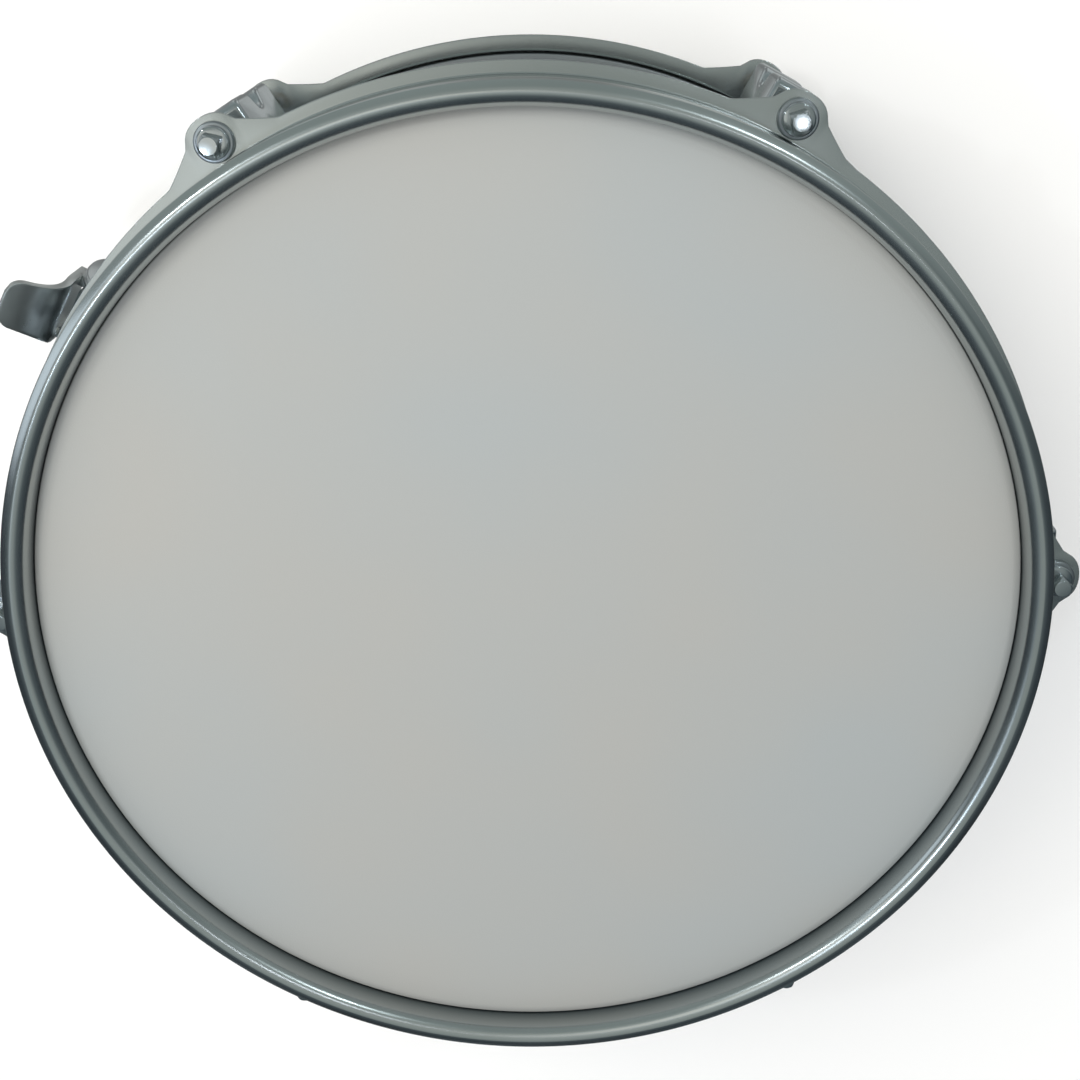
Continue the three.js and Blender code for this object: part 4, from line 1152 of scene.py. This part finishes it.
def makeStrand():
    w = wireSizes
    reach = w["half"] - w["plateLength"] / 2
    turns = int(2 * reach / w["pitch"])
    middle = w["coil"] - w["wire"]
    line = [metres(-reach + w["wire"] * math.cos(a), 0, middle + w["wire"] * math.sin(a))
            for a in (math.tau * i / w["sides"] for i in range(w["sides"]))]
    strand = drawLine("snareStrand", line)
    endEdit()
    applyModifier(
        strand, "SCREW", axis="X", angle=math.tau, screw_offset=w["pitch"] / 1000, iterations=turns,
        steps=w["stepsPerTurn"], render_steps=w["stepsPerTurn"], use_merge_vertices=False)
    startEdit(strand)
    bpy.ops.mesh.fill_holes(sides=6)
    tidyFaces(0.001)
    endEdit()
    return strand


def makeWires():
    w = wireSizes
    master = makeStrand()
    count = w["strands"]
    for part in (0, 1):
        strands = []
        for i in range(part * count // 2, (part + 1) * count // 2):
            strand = copyOf(master, "strandCopy")
            strand.rotation_euler = (math.radians(w["twist"] * i), 0, 0)
            strand.location = metres(0, (i - (count - 1) / 2) * w["spacing"], w["level"])
            strands.append(settle(strand))
        wires = joinAll(f"snareWires{part + 1}", strands)
        turn(smooth(wires, 80), places["strainer"])
        dress(wires, wireSteel, "wire", "drum", ["snare_wires"] if part == 0 else ())
    bpy.data.objects.remove(master)
    plates, seams = [], []
    for way in (1, -1):
        x0, x1 = onSide(way, w["half"], w["half"] - w["plateLength"])
        endPlate = block(
            "snareEndPlate", (x0, -w["plateHalf"], w["plateUnder"]),
            (x1, w["plateHalf"], w["plateTop"] - w["plateSunk"]), w["plateEdge"])
        plates.append(smooth(endPlate))
        x0, x1 = onSide(way, *(w["half"] - share for share in w["seam"]))
        seam = block(
            "solderSeam", (x0, -w["seamHalf"], w["plateTop"] - w["seamUnder"]),
            (x1, w["seamHalf"], w["plateTop"] + w["seamOver"]), w["seamEdge"], 4)
        seams.append(smooth(seam))
    putUp("snareEndPlates", plates, places["strainer"], zincSteel, "wire", "drum")
    putUp("snareSolder", seams, places["strainer"], solder, "wire", "drum")


makeWires()
print("snares done")

stageSizes = {"floor": 6000.0, "floorColour": "#fbfbfa"}
bpy.ops.object.select_all(action="DESELECT")
bpy.ops.mesh.primitive_plane_add(size=stageSizes["floor"] / 1000, location=(0, 0, -0.0005))
floor = freshPiece("floor")
settle(floor)
paper, tree, shader = newMaterial(
    "palePaper", {"colour": stageSizes["floorColour"], "roughness": 0.9})
floor.data.materials.append(paper)
# Polished metal sees the room's lower half in place of the floor, so its edges stay dark
floor.visible_glossy = False

# What polished metal sees of the room, from straight down (0) to straight up (1)
darkSide = [
    (0.0, "#a0a5a4"), (0.20, "#7b8384"), (0.38, "#5c6568"), (0.43, "#485257"), (0.51, "#262e34"),
    (0.64, "#2e373d"), (0.82, "#3f494e"), (0.90, "#4c5659"), (0.957, "#8f9795"), (1.0, "#989e9a")]
lightSide = [
    (0.0, "#d2d4d2"), (0.40, "#c2c6c4"), (0.50, "#a6adad"), (0.70, "#8b9594"), (0.85, "#828c8a"),
    (0.94, "#8d9491"), (1.0, "#989e9a")]
# "turn" is where the dark side gives way to the light one, "streaks" and "shades" are the range
# of the noise and what it becomes, "eyeLevel" is where the streaks end
roomSizes = {
    "plain": 0.83, "turn": (0.1, -0.5), "stretch": (1.0, 1.0, 0.3), "noise": 2.6,
    "streaks": (0.4, 0.56), "shades": (0.45, 1.1), "eyeLevel": (-0.1, 0.15)}
world = bpy.data.worlds.new("softStudio")
bpy.context.scene.world = world
world.use_nodes = True
tree = world.node_tree
tree.nodes.clear()
way = addNode(tree, "ShaderNodeTexCoord")
parts = addNode(tree, "ShaderNodeSeparateXYZ", {"Vector": way.outputs["Generated"]})
height = ranged(tree, parts.outputs["Z"], 0.0, 1.0, -1.0, 1.0)
sides = []
for tones in (darkSide, lightSide):
    ramp = addNode(tree, "ShaderNodeValToRGB", {"Fac": height.outputs["Result"]})
    while len(ramp.color_ramp.elements) < len(tones):
        ramp.color_ramp.elements.new(0.5)
    for element, (share, tone) in zip(ramp.color_ramp.elements, tones):
        element.position = share
        element.color = linear(tone)
    sides.append(ramp.outputs["Color"])
# The light side lies towards -Y
towards = ranged(tree, parts.outputs["Y"], 0.0, 1.0, *roomSizes["turn"])
both = mixTones(tree, towards.outputs["Result"], *sides)
# Furniture and doorways below eye level, as soft upright streaks
upright = addNode(
    tree, "ShaderNodeMapping", {"Vector": way.outputs["Generated"], "Scale": roomSizes["stretch"]})
objects = addNode(tree, "ShaderNodeTexNoise", {
    "Vector": upright.outputs["Vector"], "Scale": roomSizes["noise"], "Detail": 1.0})
streaks = ranged(tree, objects.outputs["Fac"], *roomSizes["shades"], *roomSizes["streaks"])
above = ranged(tree, parts.outputs["Z"], 0.0, 1.0, *roomSizes["eyeLevel"])
shade = addNode(
    tree, "ShaderNodeMath", {0: streaks.outputs[0], 1: above.outputs[0]}, operation="MAXIMUM")
room = addNode(tree, "ShaderNodeBackground", {"Color": both, "Strength": shade.outputs[0]})
plain = addNode(
    tree, "ShaderNodeBackground", {"Color": (1, 1, 1, 1), "Strength": roomSizes["plain"]})
# Only metal that is looked at directly sees the room, so a mirrored mirror still lights the film
path = addNode(tree, "ShaderNodeLightPath")
direct = addNode(
    tree, "ShaderNodeMath", {0: path.outputs["Diffuse Depth"], 1: 0.5}, operation="LESS_THAN")
seen = addNode(tree, "ShaderNodeMath", {
    0: path.outputs["Is Glossy Ray"], 1: direct.outputs[0]}, operation="MULTIPLY")
mixed = addNode(tree, "ShaderNodeMixShader", {"Fac": seen.outputs[0]})
tree.links.new(plain.outputs[0], mixed.inputs[1])
tree.links.new(room.outputs[0], mixed.inputs[2])
addNode(tree, "ShaderNodeOutputWorld", {"Surface": mixed.outputs[0]})

# Two windows and a skylight make the glints on the rim, cards light the lever and the flange
# Each lamp has its place, size, power and colour; mirrors don't show the fill
lamps = {
    "windowLeft": ((886, -578, 1360), (60, 60), 1.2, "#f4fbff"),
    "windowRight": ((-685, -802, 1363), (60, 60), 1.2, "#eefaff"),
    "skylight": ((589, 192, 1635), (110, 110), 1.6, "#dfeeff"),
    "rooflight": ((-278, -4, 1400), (110, 110), 0.3, "#eef4ff"),
    "sideCard": ((690, -150, 480), (260, 420), 0.3, "#eaf4ff"),
    "card": ((440, -105, 1160), (800, 450), 0.55, "#efe9df"),
    "fill": ((380, -560, 1020), (500, 500), 5.0, "#fffaf2"),
}
for name, (spot, size, power, colour) in lamps.items():
    data = bpy.data.lights.new(name, "AREA")
    data.shape = "RECTANGLE"
    data.size, data.size_y = metres(*size)
    data.energy = power
    data.color = linear(colour)[:3]
    light = bpy.data.objects.new(name, data)
    bpy.context.scene.collection.objects.link(light)
    light.location = metres(*spot)
    light.visible_glossy = name != "fill"
    # The card hangs level, all others look at the middle of the head
    if name != "card":
        aim = light.location - metres(0, 0, places["batterFace"])
        light.rotation_euler = aim.to_track_quat("Z", "Y").to_euler()

cameraSizes = {
    "place": (-21.58, -238.3, 687.2), "right": (-0.99909, 0.04065, -0.01264),
    "up": (-0.03317, -0.92947, -0.3674), "back": (-0.02668, -0.36665, 0.92998), "lens": 53.33,
    "sensor": 36.0, "farthest": 50.0}
cameraData = bpy.data.cameras.new("camera")
camera = bpy.data.objects.new("camera", cameraData)
bpy.context.scene.collection.objects.link(camera)
turned = Matrix([cameraSizes[axis] for axis in ("right", "up", "back")]).transposed().to_4x4()
turned.translation = metres(*cameraSizes["place"])
camera.matrix_world = turned
cameraData.sensor_width = cameraSizes["sensor"]
cameraData.lens = cameraSizes["lens"]
cameraData.clip_end = cameraSizes["farthest"]
bpy.context.scene.camera = camera
bpy.context.scene.view_settings.view_transform = "Standard"
